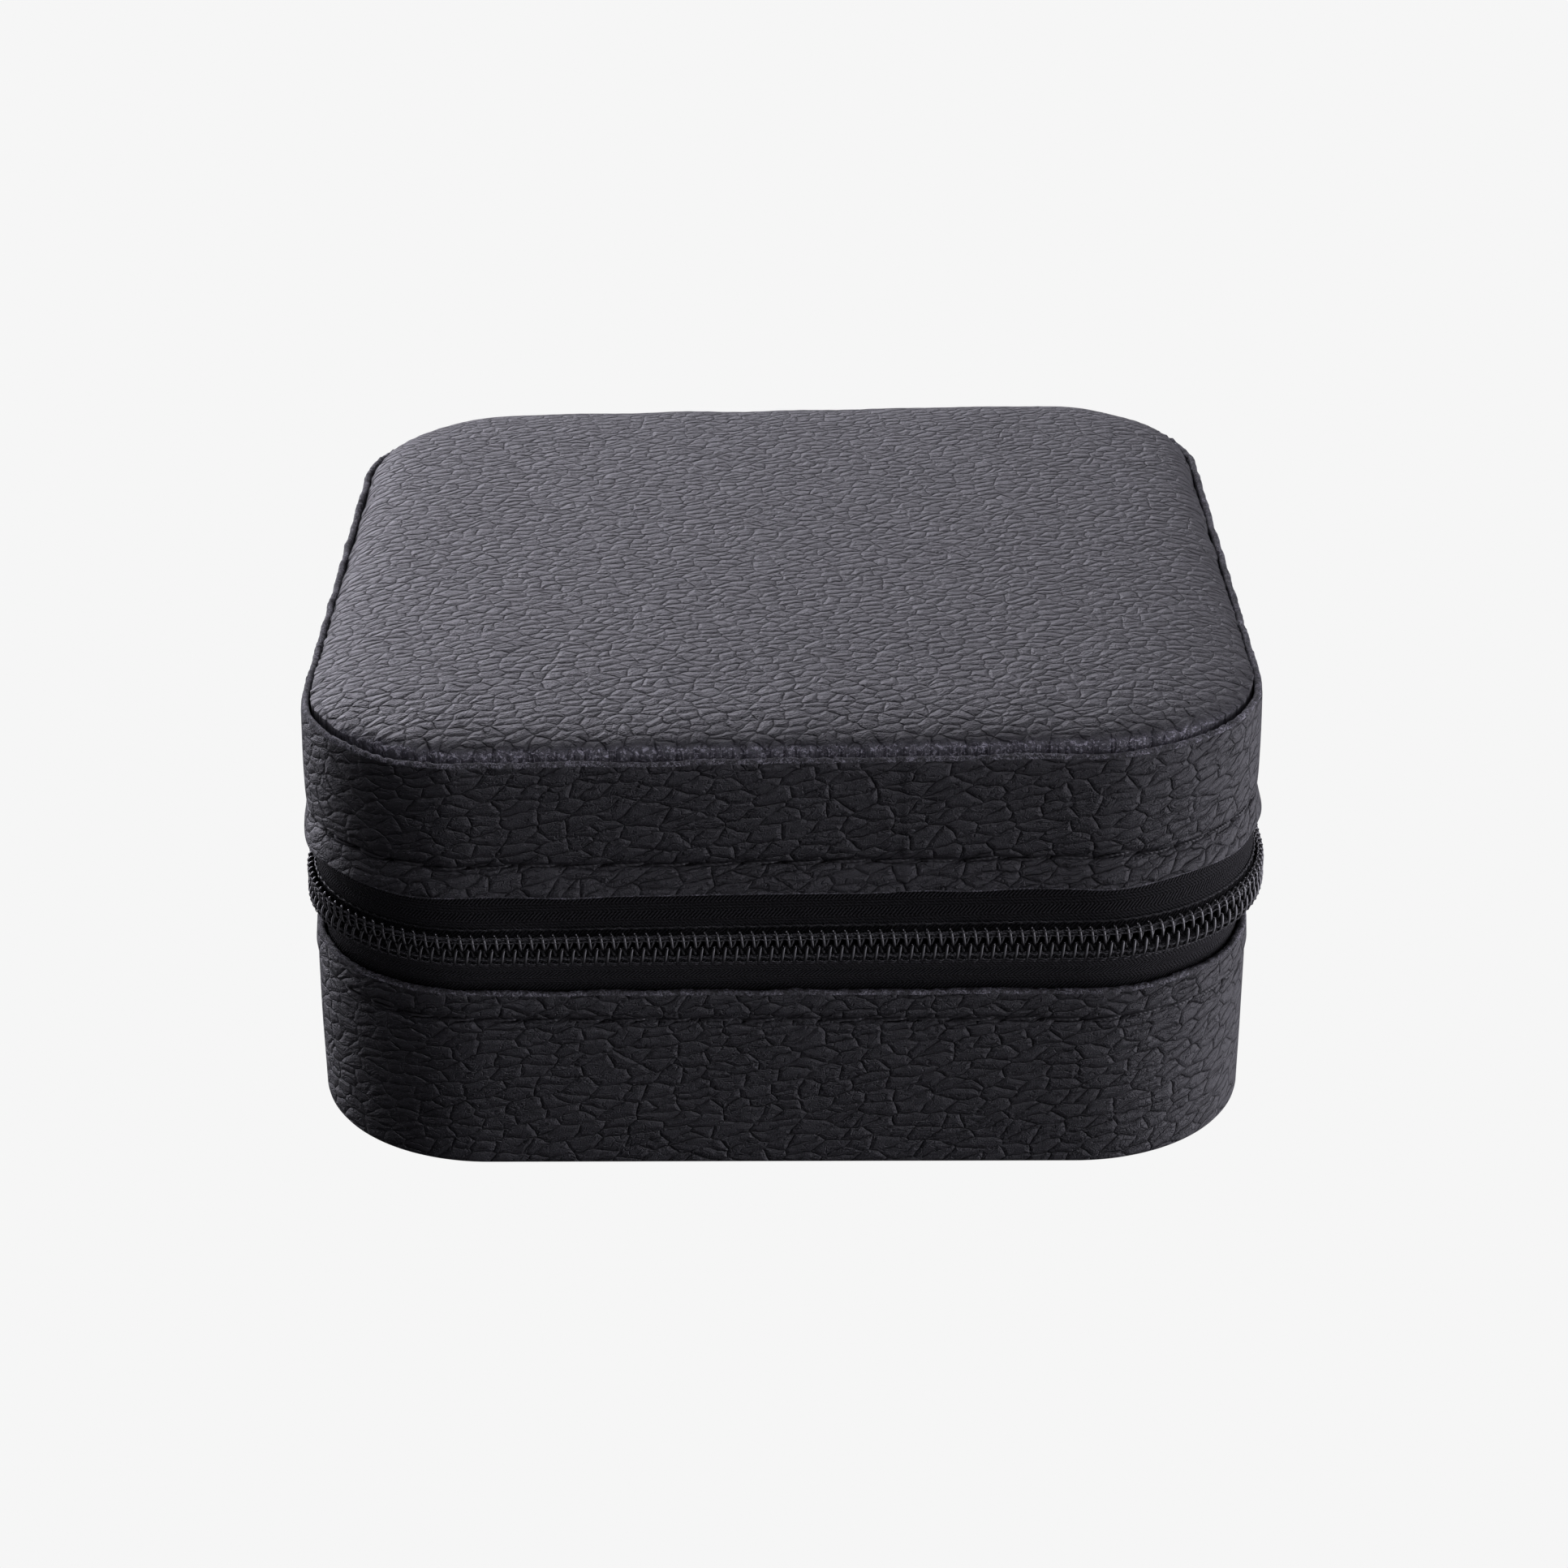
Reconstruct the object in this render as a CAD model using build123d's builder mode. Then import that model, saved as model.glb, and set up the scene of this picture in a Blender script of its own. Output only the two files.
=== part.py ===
"""Zip-round leather jewellery case, closed: a base tray, a hinged lid with a padded top, a coil zip round
three sides and both rear corners, and a soft spine across the back.

Millimetres. The origin is the middle of the face the case stands on, +X is the case's right as seen from
the front, +Y is towards the spine at the back, and +Z is up. Insets are measured inwards from the outer
face of the straight walls, so a negative inset stands proud of them.
"""

from build123d import *
from math import atan, degrees
import os

os.makedirs("parts", exist_ok=True)

# outside of the case
case_width = 100.0
case_depth = 100.0
corner_radius = 19.0
base_top = 21.0  # upper cut edge of the base's leather band
lid_bottom = 32.9  # lower cut edge of the lid's leather band
rim_top = 47.4  # upper cut edge of the lid's leather band
case_height = 50.2  # top of the crowned panel

# sheet thicknesses
leather = 0.8
board = 1.6
velvet = 0.8
tape = 0.6

# insets of the layers in a wall, from the outside in
board_outer = leather
tape_inner = leather + tape
board_inner = leather + board
lining_inner = board_inner + velvet

# leather bands
bottom_edge = 0.6
bottom_gap = 0.2
stitch_below_base_edge = 3.4
stitch_above_lid_edge = 3.0
groove_depth = 0.4
groove_height = 0.7
groove_tool_inset = -1.0  # the groove's cutter starts outside the wall
thread = 0.4
lid_flare = 1.2
lining_fold = 0.4  # how far each wall lining stands past its leather's cut edge

# zip: a 4 mm chain, whose two tapes leave a slit for the slider's post
zip_middle = 26.6
chain_width = 4.0
slit = 1.2
coil_proud = 1.5
coil_depth = 1.1
tape_hidden = 5.0  # how far each tape reaches behind the leather
tape_shoulder = 0.6  # flat of the upper tape above the chain
spine_width = 46.0

# lid
ceiling_under = 41.8
pad_gap = 0.2
pad_shoulder = 2.2
crown_ball = 900.0

# fittings in the base
floor_under = 0.8
tray_floor = floor_under + board + velvet
partition_x = -2.0
partition_thickness = 2.0
partition_top = 19.2
partition_round = 0.6
fit_gap = 0.3
roll_count = 6
roll_radius = 7.3
roll_pitch = 15.4
divider_y = 15.6
divider_thickness = 2.0
divider_top = 15.0
divider_round = 0.8

# fittings in the lid
pocket_mouth = 4.0
pocket_under = 33.8
pocket_sheet = 0.8
pocket_gap = 0.2
hem = 1.6
hem_round = 0.4
tab_names = ("left", "centre", "right")
tab_spacing = 24.0
tab_axis_y = -36.0
tab_axis_z = 39.9
tab_thickness = 1.2
tab_width = 9.0
tab_reach = 18.0
tab_end_radius = 4.1
tab_roll_radius = 0.8  # the rolled root that the tab folds on
anchor_offset = 4.0
anchor_margin = 3.0  # strip left past the outer tabs' outer edges
anchor_depth = 5.0
anchor_corner = 1.0
snap_reach = 13.5
snap_radius = 4.0
snap_cap_height = 1.1
snap_cap_round = 0.6
socket_outer = 2.3
socket_inner = 1.85
stud_radius = 1.65
stud_base_radius = 3.5
stud_base_height = 0.3
stud_reach = 0.2  # how far a stud reaches into its strap

# slider, parked on the back where the straight meets the rear right corner
slider_length = 8.5
slider_width = 6.8
slider_plate = 0.8
slider_corner = 1.6
slider_edge = 0.3
outer_room = 0.4
inner_plate_face = 48.9
inner_plate_width = 5.2
inner_plate = 0.7
inner_plate_trim = 0.3  # how much shorter the inner plate is at each end
inner_plate_corner = 1.2
flange = 0.7
flange_reach = 1.4
flange_trim = 1.6  # how much shorter the flanges are at each end
post_height = 0.8
post_length = 2.4
post_setback = 0.6  # from the slider's front end
bridge_rise = 1.3  # from the slider's face to the middle of the bridge's bar
bar_radius = 0.5
bar_span = 5.0
bridge_leg = 0.7
bridge_width = 1.3
pull_bore = 0.58
pull_eye = 1.12
pull_eye_width = 3.6
pull_neck = 2.8
pull_leaf = 1.0
pull_width = 6.4
pull_length = 19.0
pull_round = 2.6
pull_slot_width = 2.2
pull_slot_length = 5.0
pull_slot_rise = 4.6  # from the pull's tip to the middle of its slot

# worked out from the above
side_x = case_width / 2
back_y = case_depth / 2
corner_x = side_x - corner_radius
base_stitch = base_top - stitch_below_base_edge
lid_stitch = lid_bottom + stitch_above_lid_edge
chain_low = zip_middle - chain_width / 2
chain_high = zip_middle + chain_width / 2
slit_low = zip_middle - slit / 2
slit_high = zip_middle + slit / 2
coil_outer = -coil_proud
coil_inner = coil_depth - coil_proud
tape_flange_inner = coil_inner + tape
pad_base = ceiling_under + board
pad_outer = leather + pad_gap
pad_inner = pad_outer + leather


def outline(inset, mode=Mode.ADD):
    """Draws the case's rounded-square plan, set in from the outer walls, in the open sketch."""
    RectangleRounded(case_width - 2 * inset, case_depth - 2 * inset, corner_radius - inset, mode=mode)


def add_slab(low, high, inset, taper=0.0, mode=Mode.ADD):
    """Adds a slab of the case's plan between two heights to the open part."""
    with BuildSketch(Plane.XY.offset(low)) as profile:
        outline(inset)
    extrude(profile.sketch, amount=high - low, taper=taper, mode=mode)


def add_band(low, high, outer, inner, mode=Mode.ADD):
    """Adds an upright band between two heights and two insets to the open part."""
    with BuildSketch(Plane.XY.offset(low)) as profile:
        outline(outer)
        outline(inner, mode=Mode.SUBTRACT)
    extrude(profile.sketch, amount=high - low, mode=mode)


def add_leaning_band(low, high, low_inset, high_inset, thickness):
    """Adds a band that leans from one inset at its foot to another at its head to the open part."""
    lean = degrees(atan((high_inset - low_inset) / (high - low)))
    add_slab(low, high, low_inset, taper=lean)
    add_slab(low, high, low_inset + thickness, taper=lean, mode=Mode.SUBTRACT)


def cut_groove(middle):
    """Cuts a stitching groove round the outside at a height."""
    low = middle - groove_height / 2
    high = middle + groove_height / 2
    add_band(low, high, groove_tool_inset, groove_depth, mode=Mode.SUBTRACT)


def cut_spine_gap():
    """Cuts away the stretch of a zip that the spine takes up."""
    with BuildSketch() as gap:
        with Locations((0, back_y)):
            Rectangle(spine_width, corner_radius)
    extrude(gap.sketch, amount=case_height, mode=Mode.SUBTRACT)


def write(piece, name):
    """Labels a finished piece and writes it."""
    piece.part.label = name
    export_step(piece.part, f"parts/{name}.step")


# ---- base: leather, board and lining ----

with BuildPart() as base_bottom_cover:
    add_slab(0, floor_under, leather + bottom_gap)
write(base_bottom_cover, "base_bottom_cover")

with BuildPart() as base_side_cover:
    add_slab(bottom_gap, base_top, 0)
    fillet(base_side_cover.edges().group_by(Axis.Z)[0], bottom_edge)
    add_slab(bottom_gap, base_top, leather, mode=Mode.SUBTRACT)
    cut_groove(base_stitch)
write(base_side_cover, "base_side_cover")

with BuildPart() as base_stitching:
    add_band(base_stitch - thread / 2, base_stitch + thread / 2, groove_depth - thread, groove_depth)
write(base_stitching, "base_stitching")

with BuildPart() as base_board_shell:
    add_slab(floor_under, base_top - bottom_gap, board_outer)
    add_slab(floor_under + board, base_top, board_inner, mode=Mode.SUBTRACT)
    add_band(base_top - tape_hidden, base_top, 0, tape_inner, mode=Mode.SUBTRACT)
write(base_board_shell, "base_board_shell")

with BuildPart() as base_wall_lining:
    add_band(floor_under + board, base_top - bottom_gap, board_inner, lining_inner)
    add_band(base_top - bottom_gap, base_top + lining_fold, tape_inner, lining_inner)
write(base_wall_lining, "base_wall_lining")

with BuildPart() as base_floor_lining:
    add_slab(floor_under + board, tray_floor, lining_inner)
write(base_floor_lining, "base_floor_lining")

# ---- base: partition, ring rolls and lift-out dividers ----

with BuildPart() as tray_partition:
    with BuildSketch(Plane.XY.offset(tray_floor)):
        with Locations((partition_x, 0)):
            Rectangle(partition_thickness, case_depth - 2 * lining_inner)
    extrude(amount=partition_top - tray_floor)
    fillet(tray_partition.edges().group_by(Axis.Z)[-1].filter_by(Axis.Y), partition_round)
write(tray_partition, "tray_partition")

roll_end = partition_x - partition_thickness / 2 - fit_gap
for number in range(roll_count):
    roll_y = (number - (roll_count - 1) / 2) * roll_pitch
    with BuildPart() as ring_roll:
        with BuildSketch(Plane.YZ.offset(-side_x)):
            with Locations((roll_y, tray_floor + roll_radius)):
                Circle(roll_radius)
        extrude(amount=side_x + roll_end)
        with BuildSketch():
            outline(lining_inner + fit_gap)
        extrude(amount=base_top, mode=Mode.INTERSECT)
    write(ring_roll, f"ring_roll_{number + 1}")

divider_left = partition_x + partition_thickness / 2 + fit_gap
divider_right = side_x - lining_inner - fit_gap
for name, place in (("front", -divider_y), ("rear", divider_y)):
    with BuildPart() as divider:
        with BuildSketch(Plane.XY.offset(tray_floor)):
            with Locations(((divider_left + divider_right) / 2, place)):
                Rectangle(divider_right - divider_left, divider_thickness)
        extrude(amount=divider_top - tray_floor)
        fillet(divider.edges().group_by(Axis.Z)[-1].filter_by(Axis.X), divider_round)
    write(divider, f"divider_{name}")

# ---- zip: tapes and coils, open across the spine ----

with BuildPart() as lower_zip_tape:
    add_band(base_top - tape_hidden, base_top, board_outer, tape_inner)
    add_leaning_band(base_top, chain_low, board_outer, coil_inner, tape)
    add_band(chain_low, slit_low, coil_inner, tape_flange_inner)
    cut_spine_gap()
write(lower_zip_tape, "lower_zip_tape")

with BuildPart() as upper_zip_tape:
    add_band(slit_high, chain_high + tape_shoulder, coil_inner, tape_flange_inner)
    add_leaning_band(chain_high + tape_shoulder, lid_bottom, coil_inner, board_outer, tape)
    add_band(lid_bottom, lid_bottom + tape_hidden, board_outer, tape_inner)
    cut_spine_gap()
write(upper_zip_tape, "upper_zip_tape")

for name, low, high in (("lower", chain_low, slit_low), ("upper", slit_high, chain_high)):
    with BuildPart() as zip_coil:
        add_band(low, high, coil_outer, coil_inner)
        cut_spine_gap()
    write(zip_coil, f"{name}_zip_coil")

# ---- spine across the back: the lid's hinge ----

with BuildPart() as spine_cover:
    with BuildSketch(Plane.XY.offset(base_top - tape_hidden)):
        with Locations((0, back_y - leather - tape / 2)):
            Rectangle(spine_width, tape)
    extrude(amount=lid_bottom - base_top + 2 * tape_hidden)
write(spine_cover, "spine_cover")

with BuildPart() as spine_lining:
    with BuildSketch(Plane.XY.offset(base_top + lining_fold)):
        with Locations((0, back_y - tape_inner - velvet / 2)):
            Rectangle(spine_width, velvet)
    extrude(amount=lid_bottom - base_top - 2 * lining_fold)
write(spine_lining, "spine_lining")

# ---- lid: leather, board and lining ----

with BuildPart() as lid_side_cover:
    add_slab(lid_stitch, rim_top, 0)
    add_slab(lid_stitch, rim_top, leather, mode=Mode.SUBTRACT)
    add_leaning_band(lid_bottom, lid_stitch, -lid_flare, 0, leather)
    cut_groove(lid_stitch)
write(lid_side_cover, "lid_side_cover")

with BuildPart() as lid_stitching:
    add_band(lid_stitch - thread / 2, lid_stitch + thread / 2, groove_depth - thread, groove_depth)
write(lid_stitching, "lid_stitching")

with BuildPart() as lid_board_shell:
    add_slab(lid_bottom + bottom_gap, ceiling_under + board, board_outer)
    add_slab(lid_bottom, ceiling_under, board_inner, mode=Mode.SUBTRACT)
    add_band(lid_bottom, lid_bottom + tape_hidden, 0, tape_inner, mode=Mode.SUBTRACT)
write(lid_board_shell, "lid_board_shell")

with BuildPart() as lid_wall_lining:
    add_band(lid_bottom + bottom_gap, ceiling_under, board_inner, lining_inner)
    add_band(lid_bottom - lining_fold, lid_bottom + bottom_gap, tape_inner, lining_inner)
write(lid_wall_lining, "lid_wall_lining")

with BuildPart() as lid_ceiling_lining:
    add_slab(ceiling_under - velvet, ceiling_under, lining_inner)
write(lid_ceiling_lining, "lid_ceiling_lining")

# ---- lid: padded top panel ----


def add_crowned_pad(low, high, inset, shoulder, mode=Mode.ADD):
    """Adds a slab with a gently domed top and a rounded shoulder to the open part."""
    with BuildPart(mode=Mode.PRIVATE) as pad:
        add_slab(low, high, inset)
        with Locations((0, 0, high - crown_ball)):
            Sphere(crown_ball, mode=Mode.INTERSECT)
        top = pad.faces().sort_by(Axis.Z)[-1]
        fillet(top.edges(), shoulder)
    add(pad.part, mode=mode)


with BuildPart() as lid_top_board:
    add_slab(pad_base, pad_base + board, pad_inner)
write(lid_top_board, "lid_top_board")

with BuildPart() as lid_top_foam:
    add_crowned_pad(pad_base + board, case_height - leather, pad_inner, pad_shoulder - leather)
write(lid_top_foam, "lid_top_foam")

with BuildPart() as lid_top_cover:
    add_crowned_pad(pad_base, case_height, pad_outer, pad_shoulder)
    add_crowned_pad(pad_base, case_height - leather, pad_inner, pad_shoulder - leather, mode=Mode.SUBTRACT)
write(lid_top_cover, "lid_top_cover")

# ---- lid: pocket and necklace tabs ----

ceiling = ceiling_under - velvet
pocket_outer = lining_inner + pocket_gap

with BuildPart() as lid_pocket:
    add_slab(pocket_under, ceiling, pocket_outer)
    add_slab(pocket_under + pocket_sheet, ceiling, pocket_outer + pocket_sheet, mode=Mode.SUBTRACT)
    split(bisect_by=Plane.XZ.offset(-pocket_mouth), keep=Keep.BOTTOM)
write(lid_pocket, "lid_pocket")

with BuildPart() as pocket_elastic:
    with BuildSketch(Plane.YZ.offset(-side_x + pocket_outer)):
        with Locations((pocket_mouth - hem / 2, pocket_under + pocket_sheet / 2)):
            RectangleRounded(hem, hem, hem_round)
    extrude(amount=case_width - 2 * pocket_outer)
write(pocket_elastic, "pocket_elastic")

anchor_length = 2 * (tab_spacing + tab_width / 2 + anchor_margin)
with BuildPart() as tab_anchor_strip:
    with BuildSketch(Plane.XY.offset(ceiling)):
        with Locations((0, tab_axis_y - anchor_offset)):
            RectangleRounded(anchor_length, anchor_depth, anchor_corner)
    extrude(amount=-leather)
write(tab_anchor_strip, "tab_anchor_strip")

snap_y = tab_axis_y + snap_reach
strap_top = tab_axis_z + tab_thickness / 2
strap_under = tab_axis_z - tab_thickness / 2
for index, name in enumerate(tab_names):
    tab_x = (index - 1) * tab_spacing
    with BuildPart() as necklace_tab:
        with BuildSketch(Plane.XY.offset(strap_under)):
            with Locations((tab_x, tab_axis_y + tab_reach / 2)):
                Rectangle(tab_width, tab_reach)
        extrude(amount=tab_thickness)
        free_end = necklace_tab.edges().filter_by(Axis.Z).group_by(Axis.Y)[-1]
        fillet(free_end, tab_end_radius)
        with BuildSketch(Plane.YZ.offset(tab_x - tab_width / 2)):
            with Locations((tab_axis_y, tab_axis_z)):
                Circle(tab_roll_radius)
        extrude(amount=tab_width)
        with Locations((tab_x, snap_y, tab_axis_z)):
            Cylinder(socket_outer, 2 * tab_thickness, mode=Mode.SUBTRACT)
    write(necklace_tab, f"necklace_tab_{name}")

    with BuildPart() as snap_cap:
        with BuildSketch(Plane.XY.offset(strap_under)):
            with Locations((tab_x, snap_y)):
                Circle(snap_radius)
        extrude(amount=-snap_cap_height)
        fillet(snap_cap.edges().group_by(Axis.Z)[0], snap_cap_round)
        with BuildSketch(Plane.XY.offset(strap_under)):
            with Locations((tab_x, snap_y)):
                Circle(socket_outer)
                Circle(socket_inner, mode=Mode.SUBTRACT)
        extrude(amount=tab_thickness)
    write(snap_cap, f"snap_cap_{name}")

stud_places = [((index - 1) * tab_spacing, snap_y) for index in range(len(tab_names))]
with BuildPart() as snap_studs:
    with BuildSketch(Plane.XY.offset(ceiling)):
        with Locations(*stud_places):
            Circle(stud_base_radius)
    extrude(amount=-stud_base_height)
    with BuildSketch(Plane.XY.offset(ceiling)):
        with Locations(*stud_places):
            Circle(stud_radius)
    extrude(amount=strap_under + stud_reach - ceiling)
write(snap_studs, "snap_studs")

# ---- zip slider and pull, on the back at the start of the rear right corner ----

plate_face = back_y + coil_proud + outer_room
slider_face = plate_face + slider_plate
axis_y = slider_face + bridge_rise
flange_offset = (slider_width - flange) / 2
leg_offset = (bar_span + bridge_leg) / 2
pull_tip = zip_middle - pull_length

with BuildPart() as zip_slider:
    with BuildSketch(Plane.XZ.offset(-slider_face)):
        with Locations((corner_x, zip_middle)):
            RectangleRounded(slider_length, slider_width, slider_corner)
    extrude(amount=slider_plate)
    fillet(zip_slider.edges().group_by(Axis.Y)[-1], slider_edge)
    with BuildSketch(Plane.XZ.offset(-plate_face)):
        for flange_z in (zip_middle - flange_offset, zip_middle + flange_offset):
            with Locations((corner_x, flange_z)):
                Rectangle(slider_length - 2 * flange_trim, flange)
    extrude(amount=flange_reach)
    with BuildSketch(Plane.XZ.offset(-inner_plate_face)):
        with Locations((corner_x, zip_middle)):
            RectangleRounded(slider_length - 2 * inner_plate_trim, inner_plate_width, inner_plate_corner)
    extrude(amount=inner_plate)
    with BuildSketch(Plane.XZ.offset(-plate_face)):
        with Locations((corner_x - slider_length / 2 + post_setback + post_length / 2, zip_middle)):
            Rectangle(post_length, post_height)
    extrude(amount=plate_face - inner_plate_face)
    with BuildSketch(Plane.XZ.offset(-axis_y - bar_radius)):
        for leg_x in (corner_x - leg_offset, corner_x + leg_offset):
            with Locations((leg_x, zip_middle)):
                Rectangle(bridge_leg, bridge_width)
    extrude(amount=bridge_rise + bar_radius)
    with BuildSketch(Plane.YZ.offset(corner_x - bar_span / 2 - bridge_leg)):
        with Locations((axis_y, zip_middle)):
            Circle(bar_radius)
    extrude(amount=bar_span + 2 * bridge_leg)
write(zip_slider, "zip_slider")

with BuildPart() as zip_pull:
    with BuildSketch(Plane.XZ.offset(-axis_y - pull_leaf / 2)):
        with Locations((corner_x, zip_middle - pull_neck / 2)):
            Rectangle(pull_eye_width, pull_neck)
        with Locations((corner_x, zip_middle - pull_neck - (pull_length - pull_neck) / 2)):
            RectangleRounded(pull_width, pull_length - pull_neck, pull_round)
        with Locations((corner_x, pull_tip + pull_slot_rise)):
            SlotOverall(pull_slot_length, pull_slot_width, rotation=90, mode=Mode.SUBTRACT)
    extrude(amount=pull_leaf)
    with BuildSketch(Plane.YZ.offset(corner_x - pull_eye_width / 2)):
        with Locations((axis_y, zip_middle)):
            Circle(pull_eye)
    extrude(amount=pull_eye_width)
    with BuildSketch(Plane.YZ.offset(corner_x - pull_eye_width / 2)):
        with Locations((axis_y, zip_middle)):
            Circle(pull_bore)
    extrude(amount=pull_eye_width, mode=Mode.SUBTRACT)
write(zip_pull, "zip_pull")
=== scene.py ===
"""The looks of a zip-round leather jewellery case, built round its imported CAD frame.

Shapes are worked out in millimetres in the CAD frame and become metres as each mesh is made. A place on the
case's walls is given by s, the distance round the plan from the middle of the back towards -X, by its inset
from the outer wall face, where a negative inset stands proud, and by its height z.
"""

from math import cos, pi, radians, sin

import bpy
import numpy as np
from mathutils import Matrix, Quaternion, Vector


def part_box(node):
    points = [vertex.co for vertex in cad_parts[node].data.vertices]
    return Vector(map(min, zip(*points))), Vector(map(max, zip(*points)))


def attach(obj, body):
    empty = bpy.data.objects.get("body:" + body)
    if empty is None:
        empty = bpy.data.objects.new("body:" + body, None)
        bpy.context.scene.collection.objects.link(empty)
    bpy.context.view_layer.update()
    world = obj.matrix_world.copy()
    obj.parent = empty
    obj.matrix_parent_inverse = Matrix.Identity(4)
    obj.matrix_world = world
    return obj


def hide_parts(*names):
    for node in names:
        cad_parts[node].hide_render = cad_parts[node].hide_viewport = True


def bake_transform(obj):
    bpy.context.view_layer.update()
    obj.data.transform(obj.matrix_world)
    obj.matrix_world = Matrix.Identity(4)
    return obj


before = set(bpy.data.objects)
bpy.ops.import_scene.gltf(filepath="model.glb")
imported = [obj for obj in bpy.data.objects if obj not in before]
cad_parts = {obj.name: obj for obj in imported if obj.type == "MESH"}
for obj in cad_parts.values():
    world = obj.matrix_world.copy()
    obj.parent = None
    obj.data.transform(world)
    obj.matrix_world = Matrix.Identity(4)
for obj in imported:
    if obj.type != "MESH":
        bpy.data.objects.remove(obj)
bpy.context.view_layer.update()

MM = 0.001
UP = (0.0, 0.0, 1.0)


def box_mm(node):
    """The lowest and highest corners of a CAD node, in millimetres."""
    return [np.round(np.array(corner) / MM, 3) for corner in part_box(node)]


# ---- sizes that the frame gives ----

HALF = box_mm("base_side_cover")[1][0]
BASE_TOP = box_mm("base_side_cover")[1][2]
LID_BOTTOM = box_mm("lid_side_cover")[0][2]
RIM_TOP = box_mm("lid_side_cover")[1][2]
PAD_LOW = box_mm("lid_top_cover")[0][2]
BASE_STITCH = float(np.mean([c[2] for c in box_mm("base_stitching")]))
LID_STITCH = float(np.mean([c[2] for c in box_mm("lid_stitching")]))
CHAIN_LOW = box_mm("lower_zip_coil")[0][2]
CHAIN_HIGH = box_mm("upper_zip_coil")[1][2]
ZIP_MIDDLE = (CHAIN_LOW + CHAIN_HIGH) / 2
SPINE_HALF = box_mm("spine_cover")[1][0]
TRAY_FLOOR = box_mm("base_floor_lining")[1][2]
CEILING = box_mm("lid_ceiling_lining")[0][2]

CORNER = 19.0  # radius of the plan's corners
STRAIGHT = 2 * (HALF - CORNER)
ARC = pi / 2 * CORNER
ROUND = 4 * (STRAIGHT + ARC)
FRONT = ROUND / 2  # the s of the front's middle
STITCHES = 82
COIL_PITCH = 1.19


# ---- places on the walls ----


def plan(s):
    """For each s: how far along its straight, its side's outward angle, and its corner's turn."""
    along = (np.asarray(s, float) + STRAIGHT / 2) % ROUND
    side = np.floor(along / (STRAIGHT + ARC))
    along = along - side * (STRAIGHT + ARC)
    turn = np.maximum(along - STRAIGHT, 0) / CORNER
    return np.minimum(along, STRAIGHT) - STRAIGHT / 2, pi / 2 * (side + 1), turn


def place(s, inset, z):
    """Points on the walls, in millimetres."""
    s, inset, z = np.broadcast_arrays(*(np.asarray(v, float) for v in (s, inset, z)))
    run, out, turn = plan(s)
    middle = HALF - CORNER
    x = -np.sin(out) * run + np.cos(out) * middle + np.cos(out + turn) * (CORNER - inset)
    y = np.cos(out) * run + np.sin(out) * middle + np.sin(out + turn) * (CORNER - inset)
    return np.stack([x, y, z], -1)


def ring(s, inset, z):
    """A ring of points at an inset that may reach the middle of the plan."""
    inner = CORNER - 1.0
    points = place(s, np.minimum(inset, inner), z)
    points[..., :2] *= np.minimum((HALF - np.asarray(inset)) / (HALF - inner), 1)[..., None]
    return points


def heading(s):
    """The unit direction in which s grows."""
    _, out, turn = plan(s)
    return np.stack([-np.sin(out + turn), np.cos(out + turn), np.zeros_like(out)], -1)


def ripple(s, seed, size, fewest, most):
    """A smooth seeded wobble that closes on itself round the plan."""
    waves = 14
    rng = np.random.default_rng(seed)
    total = np.zeros_like(np.asarray(s, float))
    for _ in range(waves):
        count, phase, weight = rng.integers(fewest, most + 1), rng.uniform(0, 2 * pi), rng.uniform(0.4, 1)
        total = total + weight * np.sin(2 * pi * count * np.asarray(s) / ROUND + phase)
    return size * total / np.sqrt(waves * 0.27)


def stations(step, first=0.0, last=None):
    """Distances round the plan about a step apart: the whole way round, or between two places."""
    if last is None:
        return np.linspace(0, ROUND, int(ROUND / step), endpoint=False)
    return np.linspace(first, last, int((last - first) / step) + 1)


def front_share(s):
    """1 along the front wall, easing to 0 round the front corners."""
    y = place(s, 0, 0)[..., 1]
    return np.clip((-y - 30) / 18, 0, 1) ** 2


def densify(profile, step):
    """A closed profile with more points on its long runs, and each stretch's material number."""
    points, rows = [], []
    for (a, b, *mark), (c, d, *_) in zip(profile, profile[1:] + profile[:1]):
        parts = max(1, int(np.hypot(c - a, d - b) / step))
        for part in range(parts):
            points.append((a + (c - a) * part / parts, b + (d - b) * part / parts))
            rows.append(mark[0] if mark else 0)
    return np.array(points), np.array(rows)


# ---- how the soft case has settled ----

LEAN = 0.0166  # the closed lid sits a little higher on the right
SLIM = 0.17  # how much the base's walls draw in
SKEW = 0.45  # how far the zip has shifted to the right
SETTLED = ("base_leather", "base_stitches", "bottom_", "lid_leather", "lid_stitches", "padded_")
SETTLED += ("zip_", "coil_", "spine_")


def settle(points, taper=0.0):
    """Points as the case has settled: the base draws in, and the lid leans, less so inside by taper."""
    points = points.copy()
    u = np.clip((points[:, 2] - 17) / 15, 0, 1)
    share = u * u * (3 - 2 * u)
    fade = 1 - taper * np.clip((points[:, 2] - 35) / 5, 0, 1)
    points[:, 2] += LEAN * points[:, 0] * share * fade
    points[:, :2] *= (1 - SLIM / HALF * (1 - share))[:, None]
    points[:, 0] += SKEW * np.exp(-(((points[:, 2] - ZIP_MIDDLE) / 3.5) ** 2))
    return points


# ---- meshes ----


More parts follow.
